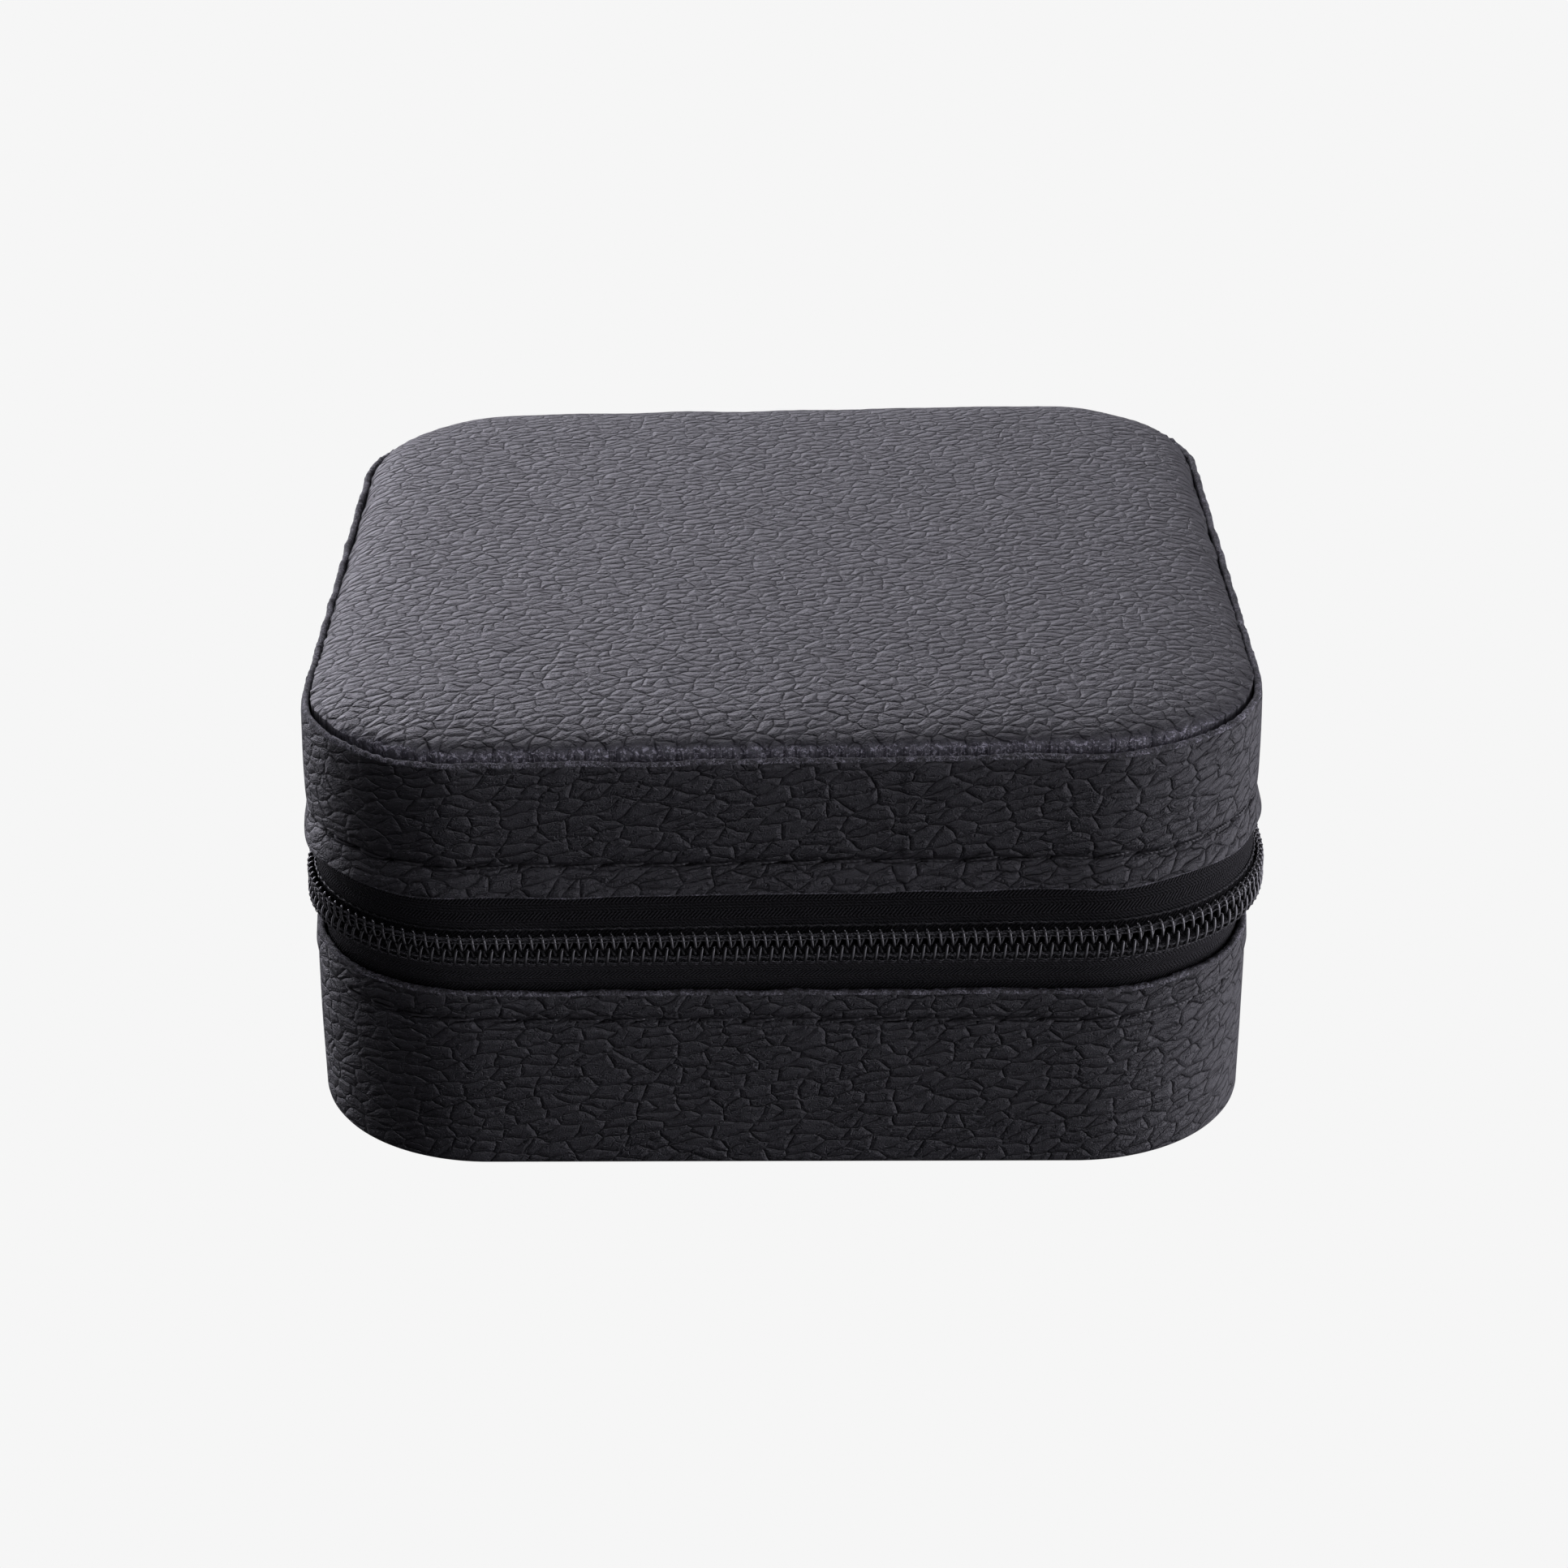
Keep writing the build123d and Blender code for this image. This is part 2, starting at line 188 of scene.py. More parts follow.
def make(name, points, faces, loops, material, sharp, numbers=None):
    """A smooth mesh object from millimetre points, with its faces turned outwards."""
    if name.startswith(SETTLED):
        points = settle(points)
    if name.startswith("lid_wall"):
        points = settle(points, 1.0)
    volume = 0.0  # six times over, and negative if the faces are inside out
    for face in faces:
        a, b = points[face[:, 0]], points[face[:, 1:]]
        for k in range(b.shape[1] - 1):
            volume += np.einsum("ij,ij->", a, np.cross(b[:, k], b[:, k + 1]))
    if volume < 0:
        faces = [face[:, ::-1] for face in faces]
        loops = [loop[:, ::-1] for loop in loops]
    mesh = bpy.data.meshes.new(name)
    mesh.from_pydata((points * MM).tolist(), [], [f for face in faces for f in face.tolist()])
    uv = mesh.uv_layers.new(name="millimetres")
    flat = np.concatenate([loop.reshape(-1, 2) for loop in loops])
    uv.data.foreach_set("uv", flat.astype(np.float32).ravel())
    for one in material if isinstance(material, (list, tuple)) else [material]:
        mesh.materials.append(one)
    if numbers is not None:
        rest = len(mesh.polygons) - len(numbers)
        mesh.polygons.foreach_set("material_index", np.append(numbers, np.zeros(rest, int)).astype(np.int32))
    mesh.shade_smooth()
    mesh.set_sharp_from_angle(angle=radians(sharp))
    made = bpy.data.objects.new(name, mesh)
    bpy.context.scene.collection.objects.link(made)
    return made


def skin(name, points, material, around=True, uv=None, caps="fan", rows=None, sharp=60):
    """A mesh over a grid of points whose second direction closes. The first closes too, or is capped.

    A cap is a fan round its middle, or a strip between the two halves of its loop.
    uv is the first and second direction's millimetres, or the plan's x and y if it isn't given.
    """
    nu, nv = points.shape[:2]
    a, b = np.meshgrid(np.arange(nu if around else nu - 1), np.arange(nv), indexing="ij")
    a2, b2 = (a + 1) % nu, (b + 1) % nv
    quads = np.stack([a * nv + b, a2 * nv + b, a2 * nv + b2, a * nv + b2], -1).reshape(-1, 4)
    flat = points.reshape(-1, 3)
    if uv is None:
        loops = flat[quads][..., :2]
    else:
        u, v = (np.append(w, 2 * w[-1] - w[-2]) for w in uv)
        loops = np.stack([u[[a, a + 1, a + 1, a]], v[[b, b, b + 1, b + 1]]], -1)
        loops = np.moveaxis(loops, 0, 2).reshape(-1, 4, 2)
    faces, corners = [quads], [loops]
    numbers = None if rows is None else np.tile(rows, len(quads) // nv)
    k = np.arange(nv if caps == "fan" else nv // 2 - 1)
    for end, turned in [] if around else [(0, False), (nu - 1, True)]:
        if caps == "fan":
            cap = np.stack([end * nv + k, end * nv + (k + 1) % nv, np.full(nv, len(flat))], -1)
            cap = cap[:, [1, 0, 2]] if turned else cap
            flat = np.vstack([flat, points[end].mean(0)])
        else:
            cap = end * nv + np.stack([k, k + 1, nv - 2 - k, nv - 1 - k], -1)
            cap = cap[:, ::-1] if turned else cap
        faces.append(cap)
        corners.append(flat[cap][..., :2])
    return make(name, flat, faces, corners, material, sharp, numbers)


def band(name, s, profile, material, around=True, step=1.3, shift=None, lift=None):
    """A closed profile of (inset, height) points swept along the walls. A third value is a material number.

    shift and lift are functions of (s, inset, z) that add to the inset and the height.
    """
    loop, numbers = densify(profile, step)
    inset, z = loop[None, :, 0], loop[None, :, 1]
    more_inset = 0 if shift is None else shift(s[:, None], inset, z)
    more_z = 0 if lift is None else lift(s[:, None], inset, z)
    points = place(s[:, None], inset + more_inset, z + more_z)
    along = np.append(0, np.cumsum(np.hypot(*np.diff(loop, axis=0).T))) + loop[0, 1]
    return skin(name, points, material, around, (s, along), rows=numbers, sharp=50)


def tubes(name, paths, guide, radius, material, sides=6):
    """Round tubes with flat ends in one mesh. paths is (tube, point, xyz); guide is never along a path."""
    tangent = np.gradient(paths, axis=1)
    tangent /= np.linalg.norm(tangent, axis=-1, keepdims=True)
    guide = np.broadcast_to(guide, paths.shape)
    across = guide - (guide * tangent).sum(-1, keepdims=True) * tangent
    across /= np.linalg.norm(across, axis=-1, keepdims=True)
    other = np.cross(tangent, across)
    turn = np.arange(sides) * 2 * pi / sides
    radius = np.broadcast_to(radius, paths.shape[:2])[..., None, None]
    rings = paths[:, :, None] + radius * (
        np.cos(turn)[:, None] * across[:, :, None] + np.sin(turn)[:, None] * other[:, :, None]
    )
    count, length = paths.shape[:2]
    t, a, b = np.meshgrid(np.arange(count), np.arange(length - 1), np.arange(sides), indexing="ij")
    start, b2 = t * length * sides, (b + 1) % sides
    quads = np.stack([a * sides + b, (a + 1) * sides + b, (a + 1) * sides + b2, a * sides + b2], -1)
    quads = (quads + start[..., None]).reshape(-1, 4)
    first = np.arange(count)[:, None] * length * sides + np.arange(sides)
    ends = np.vstack([first, first[:, ::-1] + (length - 1) * sides])
    flat = rings.reshape(-1, 3)
    faces = [quads, ends]
    return make(name, flat, faces, [flat[face][..., :2] for face in faces], material, 60)


def round_rect(width, height, radius, per_corner=5):
    """A closed loop round a rectangle with rounded corners, about the origin."""
    points = []
    for k, (sx, sy) in enumerate(((1, 1), (-1, 1), (-1, -1), (1, -1))):
        for part in range(per_corner + 1):
            angle = pi / 2 * (k + part / per_corner)
            x, y = sx * (width / 2 - radius), sy * (height / 2 - radius)
            points.append((x + radius * cos(angle), y + radius * sin(angle)))
    return np.array(points)


def soft_bar(name, axis, low, high, radius, material, wobble=0.0, seed=1, step=1.2):
    """A bar with rounded edges and ends along an axis, between two corners, gently uneven."""
    low, high = np.array(low, float), np.array(high, float)
    others = [k for k in range(3) if k != axis]
    length, (w, h) = high[axis] - low[axis], (high - low)[others]
    ease = radius * (1 - np.cos(np.linspace(0, pi / 2, 5)))
    runs = np.linspace(radius, length - radius, max(2, int(length / step)))
    t = np.concatenate([ease[:-1], runs, length - ease[-2::-1]])
    rng = np.random.default_rng(seed)
    rings = []
    for at in t:
        end = min(at, length - at, radius)
        shrink = radius - np.sqrt(max(radius**2 - (radius - end) ** 2, 0))
        loop = round_rect(w - 2 * shrink, h - 2 * shrink, max(radius - shrink, 0.05))
        extra = 0 if wobble == 0 else wobble * rng.normal(0, 0.35, 2)
        points = np.zeros((len(loop), 3))
        points[:, axis] = low[axis] + at
        points[:, others] = loop + (low + high)[others] / 2 + extra
        rings.append(points)
    u = t if axis == 0 else t + low[axis]
    edge = np.hypot(*np.diff(np.vstack([loop, loop[:1]]), axis=0).T)
    return skin(name, np.array(rings), material, False, (u, np.cumsum(edge)))


def lathe(name, centre, profile, material):
    """A turned shape about an upright axis from (radius, height) points."""
    sides = 40
    angle = np.arange(sides) * 2 * pi / sides
    rings = []
    for radius, height in profile:
        x, y = centre[0] + radius * np.cos(angle), centre[1] + radius * np.sin(angle)
        rings.append(np.stack([x, y, np.full(sides, centre[2] + height)], -1))
    return skin(name, np.array(rings), material, False, sharp=40)


# ---- materials ----


class Nodes:
    """A node tree, and short ways to add to it."""

    def __init__(self, tree):
        self.tree = tree

    def plug(self, socket, value):
        if isinstance(value, bpy.types.NodeSocket):
            self.tree.links.new(value, socket)
        else:
            socket.default_value = value

    def add(self, kind, inputs, **settings):
        node = self.tree.nodes.new("ShaderNode" + kind)
        for key, value in settings.items():
            setattr(node, key, value)
        for key, value in inputs.items():
            self.plug(node.inputs[key], value)
        return node

    def math(self, operation, a, b=0.0, c=0.0):
        return self.add("Math", {0: a, 1: b, 2: c}, operation=operation).outputs[0]

    def times(self, a, b):
        return self.math("MULTIPLY", a, b)

    def scale_add(self, a, b, c):
        return self.math("MULTIPLY_ADD", a, b, c)

    def vector(self, operation, a, b=(0, 0, 0), scale=1.0):
        return self.add("VectorMath", {0: a, 1: b, 3: scale}, operation=operation).outputs[0]

    def noise(self, at, scale, detail=2.0, rough=0.5, output="Fac"):
        inputs = {"Vector": at, "Scale": scale, "Detail": detail, "Roughness": rough}
        return self.add("TexNoise", inputs).outputs[output]

    def step(self, value, low, high, to_low=0.0, to_high=1.0):
        inputs = {0: value, 1: low, 2: high, 3: to_low, 4: to_high}
        return self.add("MapRange", inputs, interpolation_type="SMOOTHSTEP").outputs[0]

    def blend(self, share, a, b):
        return self.add("Mix", {0: share, 6: a, 7: b}, data_type="RGBA").outputs[2]


class Finish(Nodes):
    """A material made of nodes round one Principled shader."""

    def __init__(self, name, **sockets):
        self.material = bpy.data.materials.new(name)
        self.material.use_nodes = True
        super().__init__(self.material.node_tree)
        self.shader = self.tree.nodes["Principled BSDF"]
        for key, value in sockets.items():
            self.shader.inputs[key.replace("_", " ")].default_value = value
        where = self.add("TexCoord", {})
        self.uv = where.outputs["UV"]
        self.spot = self.vector("SCALE", where.outputs["Object"], scale=1 / MM)

    def warp(self, at, scale, size, detail=1.0):
        """Coordinates pushed about by up to about half of size."""
        push = self.vector("SUBTRACT", self.noise(at, scale, detail, output="Color"), (0.5, 0.5, 0.5))
        return self.vector("ADD", at, self.vector("SCALE", push, scale=size))

    def leaning(self, at, size, lean):
        """Coordinates that count cells of a size, which lean up to the right by an angle in degrees."""
        inputs = {"Vector": at, "Rotation": (0, 0, radians(lean)), "Scale": (*size, 1)}
        return self.add("Mapping", inputs, vector_type="TEXTURE").outputs[0]

    def cell_edge(self, at):
        """The distance to the nearest edge between cells, as a share of a cell."""
        inputs = {"Vector": at, "Scale": 1.0, "Randomness": 0.95}
        settings = {"feature": "DISTANCE_TO_EDGE", "voronoi_dimensions": "2D"}
        return self.add("TexVoronoi", inputs, **settings).outputs["Distance"]

    def cells(self, at, size, lean):
        """About how many millimetres it is to the nearest edge between leaning cells of a size."""
        counted = self.leaning(at, size, lean)
        reach = 0.08
        offsets = ((0, 0, 0), (0, reach, 0), (0, -reach, 0))
        near, above, below = (self.cell_edge(self.vector("ADD", counted, offset)) for offset in offsets)
        changes = [self.math("ABSOLUTE", self.math("SUBTRACT", other, near)) for other in (above, below)]
        across = self.math("MAXIMUM", *changes)  # most where the nearest edge runs along the cells
        return self.times(near, self.step(across, 0.0, reach, size[0], size[1]))

    def finish(self, colour, rough, height):
        """Joins the colour, roughness and height in millimetres to the shader."""
        self.plug(self.shader.inputs["Base Color"], colour)
        self.plug(self.shader.inputs["Roughness"], rough)
        bump = self.add("Bump", {"Height": height, "Strength": 1.0, "Distance": MM})
        self.plug(self.shader.inputs["Normal"], bump.outputs[0])
        return self.material


def grey(level, tint=(1.0, 1.0, 1.0)):
    return (level * tint[0], level * tint[1], level * tint[2], 1)


COOL = (0.97, 0.95, 1.08)  # the slightly violet cast of black leather, nylon and velvet


def leather(name, size, lean, depth, tone, rough, flat=False, edge_glint=False):
    """Pebbled leather: creased cells of two sizes, long wavy creases, pores, and uneven tone and shine.

    size, lean and depth are those of the large cells. flat grain follows the plan, not the walls. The
    creases are painted darker and less shiny, as painted shade. The last argument adds painted highlights, a
    paler edge and pale specks standing in for glints, where the mesh's attribute of the same name says so.
    """
    f = Finish(name, IOR=1.5)
    at = f.spot if flat else f.uv
    bent = f.warp(f.warp(f.warp(at, 0.2, 1.5), 0.8, 0.45), 2.4, 0.16)
    large = f.cells(bent, size, lean)
    small = f.cells(f.warp(bent, 1.7, 0.4), (size[0] * 0.5, size[1] * 0.5), lean * 1.4)
    long = f.noise(f.leaning(bent, (size[0] * 1.1, size[1] * 0.62), lean), 1.0, 1.5, 0.6)
    patches = f.step(f.noise(at, 0.16, 2), 0.38, 0.66)
    weak = f.step(f.noise(bent, 0.55, 1), 0.36, 0.62)
    crease = f.math("SUBTRACT", 1.0, f.step(large, 0.0, 0.15))
    fine = f.math("SUBTRACT", 1.0, f.step(small, 0.0, 0.1))
    wave = f.math("SUBTRACT", 1.0, f.step(f.math("ABSOLUTE", f.math("SUBTRACT", long, 0.5)), 0.0, 0.03))
    crease = f.times(crease, f.scale_add(weak, 0.65, 0.35))
    fine = f.times(fine, f.scale_add(patches, 0.6, 0.15))
    pores = f.noise(at, 5.5, 3, 0.65)
    height = f.times(crease, -depth)
    height = f.scale_add(fine, -depth * 0.45, height)
    height = f.scale_add(wave, -depth * 0.45, height)
    height = f.scale_add(f.step(large, 0.0, 0.5), depth * 0.8, height)
    height = f.scale_add(long, depth * 2.0, height)
    height = f.scale_add(pores, depth * 0.7, height)
    mottle = f.noise(at, 0.09, 3)
    # painted shade: the crease lines darken the colour and lower the specular, standing in for shade in the
    # creases
    lines = f.math("MAXIMUM", crease, f.times(f.math("MAXIMUM", wave, fine), 0.6))
    mottle_and_crease_shade = f.scale_add(lines, -0.6, f.scale_add(mottle, 0.5, 0.75))
    f.plug(f.shader.inputs["Specular IOR Level"], f.scale_add(lines, -0.3, 0.5))
    colour = f.blend(mottle_and_crease_shade, grey(0.0), grey(tone, COOL))
    shine = f.scale_add(pores, 0.12, f.scale_add(patches, -0.05, rough - 0.03))
    shine = f.scale_add(lines, 0.2, shine)
    # painted highlights: the edge named by the mesh attribute is painted paler, and pale specks stand in for
    # glints
    if edge_glint:
        edge = f.add("Attribute", {}, attribute_name="edge_glint").outputs["Fac"]
        specks = f.noise(f.warp(f.spot, 1.4, 1.0), 2.4, 4, 0.8)
        glint_specks = f.times(f.step(specks, 0.5, 0.64), f.step(edge, 0.2, 0.9))
        colour = f.blend(f.times(edge, 0.6), colour, grey(0.12, COOL))
        colour = f.blend(f.times(glint_specks, 0.75), colour, grey(0.6, COOL))
        height = f.scale_add(f.times(specks, edge), 0.08, height)
    return f.finish(colour, shine, height)


def cut_edge():
    """The raw edge of the leather: paler, fibrous and dull."""
    f = Finish("cut_edge", IOR=1.45)
    fibres = f.noise(f.warp(f.spot, 1.5, 0.8), 4.5, 4, 0.75)
    lumps = f.noise(f.spot, 0.9, 2)
    tone = f.times(f.step(fibres, 0.42, 0.72), f.step(lumps, 0.35, 0.65, 0.25, 1.0))
    colour = f.blend(tone, grey(0.015), grey(0.4, COOL))
    height = f.scale_add(fibres, 0.12, f.times(lumps, 0.1))
    return f.finish(colour, f.step(fibres, 0.2, 0.8, 0.75, 0.5), height)


def tape_weave():
    """A fine herringbone weave."""
    f = Finish("zip_tape", IOR=1.4, Specular_IOR_Level=0.25, Sheen_Weight=0.04, Sheen_Roughness=0.5)
    split = f.add("SeparateXYZ", {0: f.warp(f.uv, 1.2, 0.12)})
    zig = f.math("PINGPONG", split.outputs[1], 0.9)
    twill = f.math("SINE", f.times(f.math("ADD", split.outputs[0], zig), 2 * pi / 0.42))
    weft = f.math("SINE", f.times(split.outputs[1], 2 * pi / 0.3))
    fuzz = f.noise(f.uv, 6.0, 3, 0.7)
    height = f.scale_add(twill, 0.1, f.times(weft, 0.05))
    height = f.scale_add(fuzz, 0.22, height)
    tone = f.scale_add(twill, 0.25, f.step(fuzz, 0.42, 0.72, 0.1, 1.2))
    colour = f.blend(tone, grey(0.003), grey(0.03, COOL))
    return f.finish(colour, f.scale_add(fuzz, 0.2, 0.72), height)


def nylon():
    """Smooth, slightly scuffed filament."""
    f = Finish("nylon_coil", IOR=1.53, Coat_Weight=1.0, Coat_Roughness=0.06)
    scuff = f.noise(f.spot, 2.2, 4, 0.6)
    colour = f.blend(scuff, grey(0.002), grey(0.008, COOL))
    return f.finish(colour, f.step(scuff, 0.3, 0.8, 0.24, 0.4), f.times(scuff, 0.02))


def sewing_thread(name, tone):
    """Twisted thread."""
    f = Finish(name, IOR=1.5, Sheen_Weight=0.2, Sheen_Roughness=0.4)
    wave = f.add("TexWave", {"Vector": f.spot, "Scale": 0.9, "Distortion": 1.2}, bands_direction="DIAGONAL")
    fuzz = f.noise(f.spot, 7, 2)
    colour = f.blend(fuzz, grey(tone * 0.5), grey(tone * 1.5, COOL))
    return f.finish(colour, f.step(fuzz, 0.2, 0.8, 0.4, 0.62), f.times(wave.outputs["Fac"], 0.06))


def pile(name, tone, nap=1.0):
    """Velvet: a short pile with a soft sheen and brushed patches."""
    f = Finish(name, IOR=1.35, Sheen_Weight=0.55, Sheen_Roughness=0.35, Sheen_Tint=(0.75, 0.74, 0.8, 1))
    brushed = f.noise(f.warp(f.spot, 0.08, 8.0), 0.12, 3)
    tuft = f.noise(f.spot, 7.5, 3, 0.7)
    share = f.scale_add(brushed, 0.9, f.scale_add(tuft, 0.5, -0.2))
    colour = f.blend(share, grey(tone * 0.45), grey(tone * 1.7, COOL))
    height = f.scale_add(tuft, 0.07 * nap, f.times(brushed, 0.25 * nap))
    return f.finish(colour, f.scale_add(tuft, 0.15, 0.75), height)


def satin():
    """Thin satin for the gathered pocket."""
    f = Finish("pocket_satin", IOR=1.5, Sheen_Weight=0.35, Sheen_Roughness=0.3, Anisotropic=0.4)
    split = f.add("SeparateXYZ", {0: f.warp(f.spot, 0.8, 0.15)})
    thread_x = f.math("SINE", f.times(split.outputs[0], 2 * pi / 0.28))
    thread_y = f.math("SINE", f.times(split.outputs[1], 2 * pi / 0.2))
    slub = f.noise(f.spot, 0.5, 3)
    height = f.scale_add(thread_x, 0.008, f.times(thread_y, 0.006))
    height = f.scale_add(slub, 0.12, height)
    colour = f.blend(slub, grey(0.012), grey(0.03, COOL))
    return f.finish(colour, f.step(slub, 0.3, 0.7, 0.34, 0.5), height)


def nickel():
    """Dark nickel plate, finely brushed and rubbed on its edges."""
    f = Finish("dark_nickel", Metallic=1.0, Anisotropic=0.3)
    brushed = f.noise(f.vector("MULTIPLY", f.spot, (1.0, 1.0, 9.0)), 1.6, 4, 0.7)
    wear_and_glint = f.noise(f.spot, 0.5, 4, 0.6)
    edge = f.add("NewGeometry", {}).outputs["Pointiness"]
    rub = f.times(f.step(edge, 0.5, 0.56), f.step(wear_and_glint, 0.35, 0.6, 0.4, 1.0))
    colour = f.blend(rub, f.blend(wear_and_glint, grey(0.13, COOL), grey(0.21)), grey(0.42))
    return f.finish(colour, f.step(brushed, 0.25, 0.75, 0.2, 0.36), f.times(brushed, 0.012))


def board():
    """Pulpy grey board."""
    f = Finish("grey_board", IOR=1.45)
    pulp = f.noise(f.spot, 1.8, 5, 0.7)
    fleck = f.step(f.noise(f.spot, 5.0, 2), 0.6, 0.75)
    colour = f.blend(fleck, f.blend(pulp, grey(0.09), grey(0.15, (1.0, 0.96, 0.9))), grey(0.05))
    return f.finish(colour, f.step(pulp, 0.2, 0.8, 0.8, 0.95), f.times(pulp, 0.08))


WALL_LEATHER = leather("leather_walls", (3.1, 1.35), 14, 0.2, 0.018, 0.42)
# the top's leather gets painted highlights along the pad's front edge
TOP_LEATHER = leather("leather_top", (2.0, 1.3), 14, 0.19, 0.02, 0.37, edge_glint=True)
TRIM_LEATHER = leather("leather_trim", (1.6, 1.2), 10, 0.06, 0.017, 0.5)
UNDER_LEATHER = leather("leather_underside", (1.8, 1.5), 0, 0.05, 0.017, 0.6, flat=True)
CUT_EDGE = cut_edge()
TAPE = tape_weave()
NYLON = nylon()
THREAD = sewing_thread("thread", 0.018)
VELVET = pile("velvet", 0.02)
ROLL_VELVET = pile("velvet_roll", 0.022, 1.4)
SATIN = satin()
NICKEL = nickel()
BOARD = board()


def finish_piece(piece, body, slot, *nodes):
    """Rides a piece on its body, and hides the CAD nodes it stands for."""
    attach(piece, body)
    if nodes:
        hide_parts(*nodes)
    return piece


# ---- leather bands of the base and the lid ----

EDGE = 1  # the material number of a band's cut edges
base_profile = [
    (0.8, 0.2), (0.5, 0.26), (0.24, 0.44), (0.06, 0.7), (0.0, 1.0), (-0.04, 8.0), (-0.02, 16.37),
    (0.0, 16.88), (0.1, 17.24), (0.36, 17.52), (0.4, 17.62), (0.12, 17.85), (-0.1, 18.17), (-0.16, 18.62),
    (-0.06, 19.87), (0.02, 20.6, EDGE), (0.1, 20.86, EDGE), (0.24, 20.99, EDGE), (0.42, 21, EDGE),
    (0.6, 20.99, EDGE), (0.74, 20.89, EDGE), (0.8, 20.66), (0.8, 10.0),
]
lid_profile = [
    (-0.36, 32.98, EDGE), (-0.5, 32.9, EDGE), (-0.75, 32.86, EDGE), (-1.0, 32.9, EDGE),
    (-1.16, 32.99, EDGE), (-1.2, 33.14), (-1.0, 33.61), (-0.62, 34.4), (-0.3, 35.19), (-0.14, 35.54),
    (0.06, 35.73), (0.36, 35.87), (0.4, 35.97), (0.1, 36.21), (-0.08, 36.56), (-0.12, 37.43),
    (-0.1, 42.47), (-0.04, 46.2), (0.0, 46.8), (0.04, 47.01, EDGE), (0.14, 47.25, EDGE),
    (0.3, 47.38, EDGE), (0.48, 47.4, EDGE), (0.66, 47.33, EDGE), (0.78, 47.14, EDGE), (0.8, 46.85),
    (0.8, 36.34), (0.55, 35.43),
]
round_the_case = stations(0.45)


def near(z, level, reach):
    """1 at a level, easing to 0 a reach away."""
    return np.clip(1 - np.abs(z - level) / reach, 0, 1) ** 2


# how uneven the bands are: each shift changes the inset and each lift the height, most at edges and stitches


def base_shift(s, inset, z):
    wave = ripple(s, 11, 0.06, 3, 16) * near(z, 10, 12)
    edge = (ripple(s, 12, 0.07, 18, 70) + ripple(s, 13, 0.035, 120, 420)) * near(z, BASE_TOP, 2.2)
    return wave + edge + ripple(s, 14, 0.05, 60, 200) * near(z, BASE_STITCH, 0.8)


def base_lift(s, inset, z):
    edge = (ripple(s, 15, 0.07, 10, 40) + ripple(s, 16, 0.03, 150, 420)) * near(z, BASE_TOP, 1.5)
    return edge + ripple(s, 17, 0.08, 14, 60) * near(z, BASE_STITCH, 1.5)


JOIN = FRONT + 11.8  # where the lid band's two ends meet, right of the front's middle
SIDE_TUCK = 0.6  # how much less the lid's lower strip flares away from the front


def lid_shift(s, inset, z):
    wave = ripple(s, 21, 0.07, 3, 16) * near(z, 40, 9)
    edge = (ripple(s, 22, 0.07, 18, 70) + ripple(s, 23, 0.04, 120, 420)) * near(z, RIM_TOP, 2.0)
    foot = ripple(s, 24, 0.1, 12, 50) * near(z, LID_BOTTOM, 3.0)
    foot = foot + SIDE_TUCK * (1 - front_share(s)) * np.clip((LID_STITCH - z) / 3, 0, 1)
    join = np.where(inset < 0.5, 0.16 * np.exp(-(((s - JOIN) / 0.45) ** 2)), 0)
    join = join + np.where(inset < 0.5, -0.07 * np.exp(-np.abs(s - JOIN - 0.7) / 1.6), 0)
    return wave + edge + foot + join + ripple(s, 25, 0.05, 60, 200) * near(z, LID_STITCH, 0.8)


def lid_lift(s, inset, z):
    edge = (ripple(s, 26, 0.08, 8, 40) + ripple(s, 27, 0.05, 120, 420)) * near(z, RIM_TOP, 1.4)
    foot = ripple(s, 28, 0.09, 8, 34) * near(z, LID_BOTTOM, 1.6)
    return edge + foot + ripple(s, 29, 0.1, 14, 60) * near(z, LID_STITCH, 1.5)


for name, profile, shift, lift, body, node in (
    ("base_leather_band", base_profile, base_shift, base_lift, "base", "base_side_cover"),
    ("lid_leather_band", lid_profile, lid_shift, lid_lift, "lid", "lid_side_cover"),
):
    leather_band = band(name, round_the_case, profile, [WALL_LEATHER, CUT_EDGE], shift=shift, lift=lift)
    finish_piece(leather_band, body, "black_leather", node)


def stitch_row(name, level, lift, body, node):
    """Single stitches round the case, each dipping into the leather at both ends."""
    pitch = ROUND / STITCHES
    middle = (np.arange(STITCHES) + 0.5) * pitch
    t = np.linspace(-1, 1, 9)
    s = middle[:, None] + t * pitch * 0.41
    inset = 0.2 + 0.34 * t**4
    path = place(s, inset, level + 0.03 + lift(s, inset, level) + 0.05 * t)
    made = tubes(name, path, UP, 0.2 * (1 - 0.45 * t**6), THREAD)
    return finish_piece(made, body, "thread", node)


stitch_row("base_stitches", BASE_STITCH, base_lift, "base", "base_stitching")
stitch_row("lid_stitches", LID_STITCH, lid_lift, "lid", "lid_stitching")

bottom_rings = [(40.0, 0.8), (1.6, 0.8), (1.2, 0.72), (1.02, 0.5), (1.05, 0.25), (1.3, 0.06), (1.8, 0.0)]
bottom_rings += [(inset, 0.0) for inset in (4, 8, 12, 16, 20, 26, 32, 38, 44, 48)]
round_coarse = stations(1.5)
bottom_points = np.array([ring(round_coarse, inset, z) for inset, z in bottom_rings])
bottom = skin("bottom_panel", bottom_points, UNDER_LEATHER, False)
finish_piece(bottom, "base", "lining_leather", "base_bottom_cover")

# ---- padded top ----

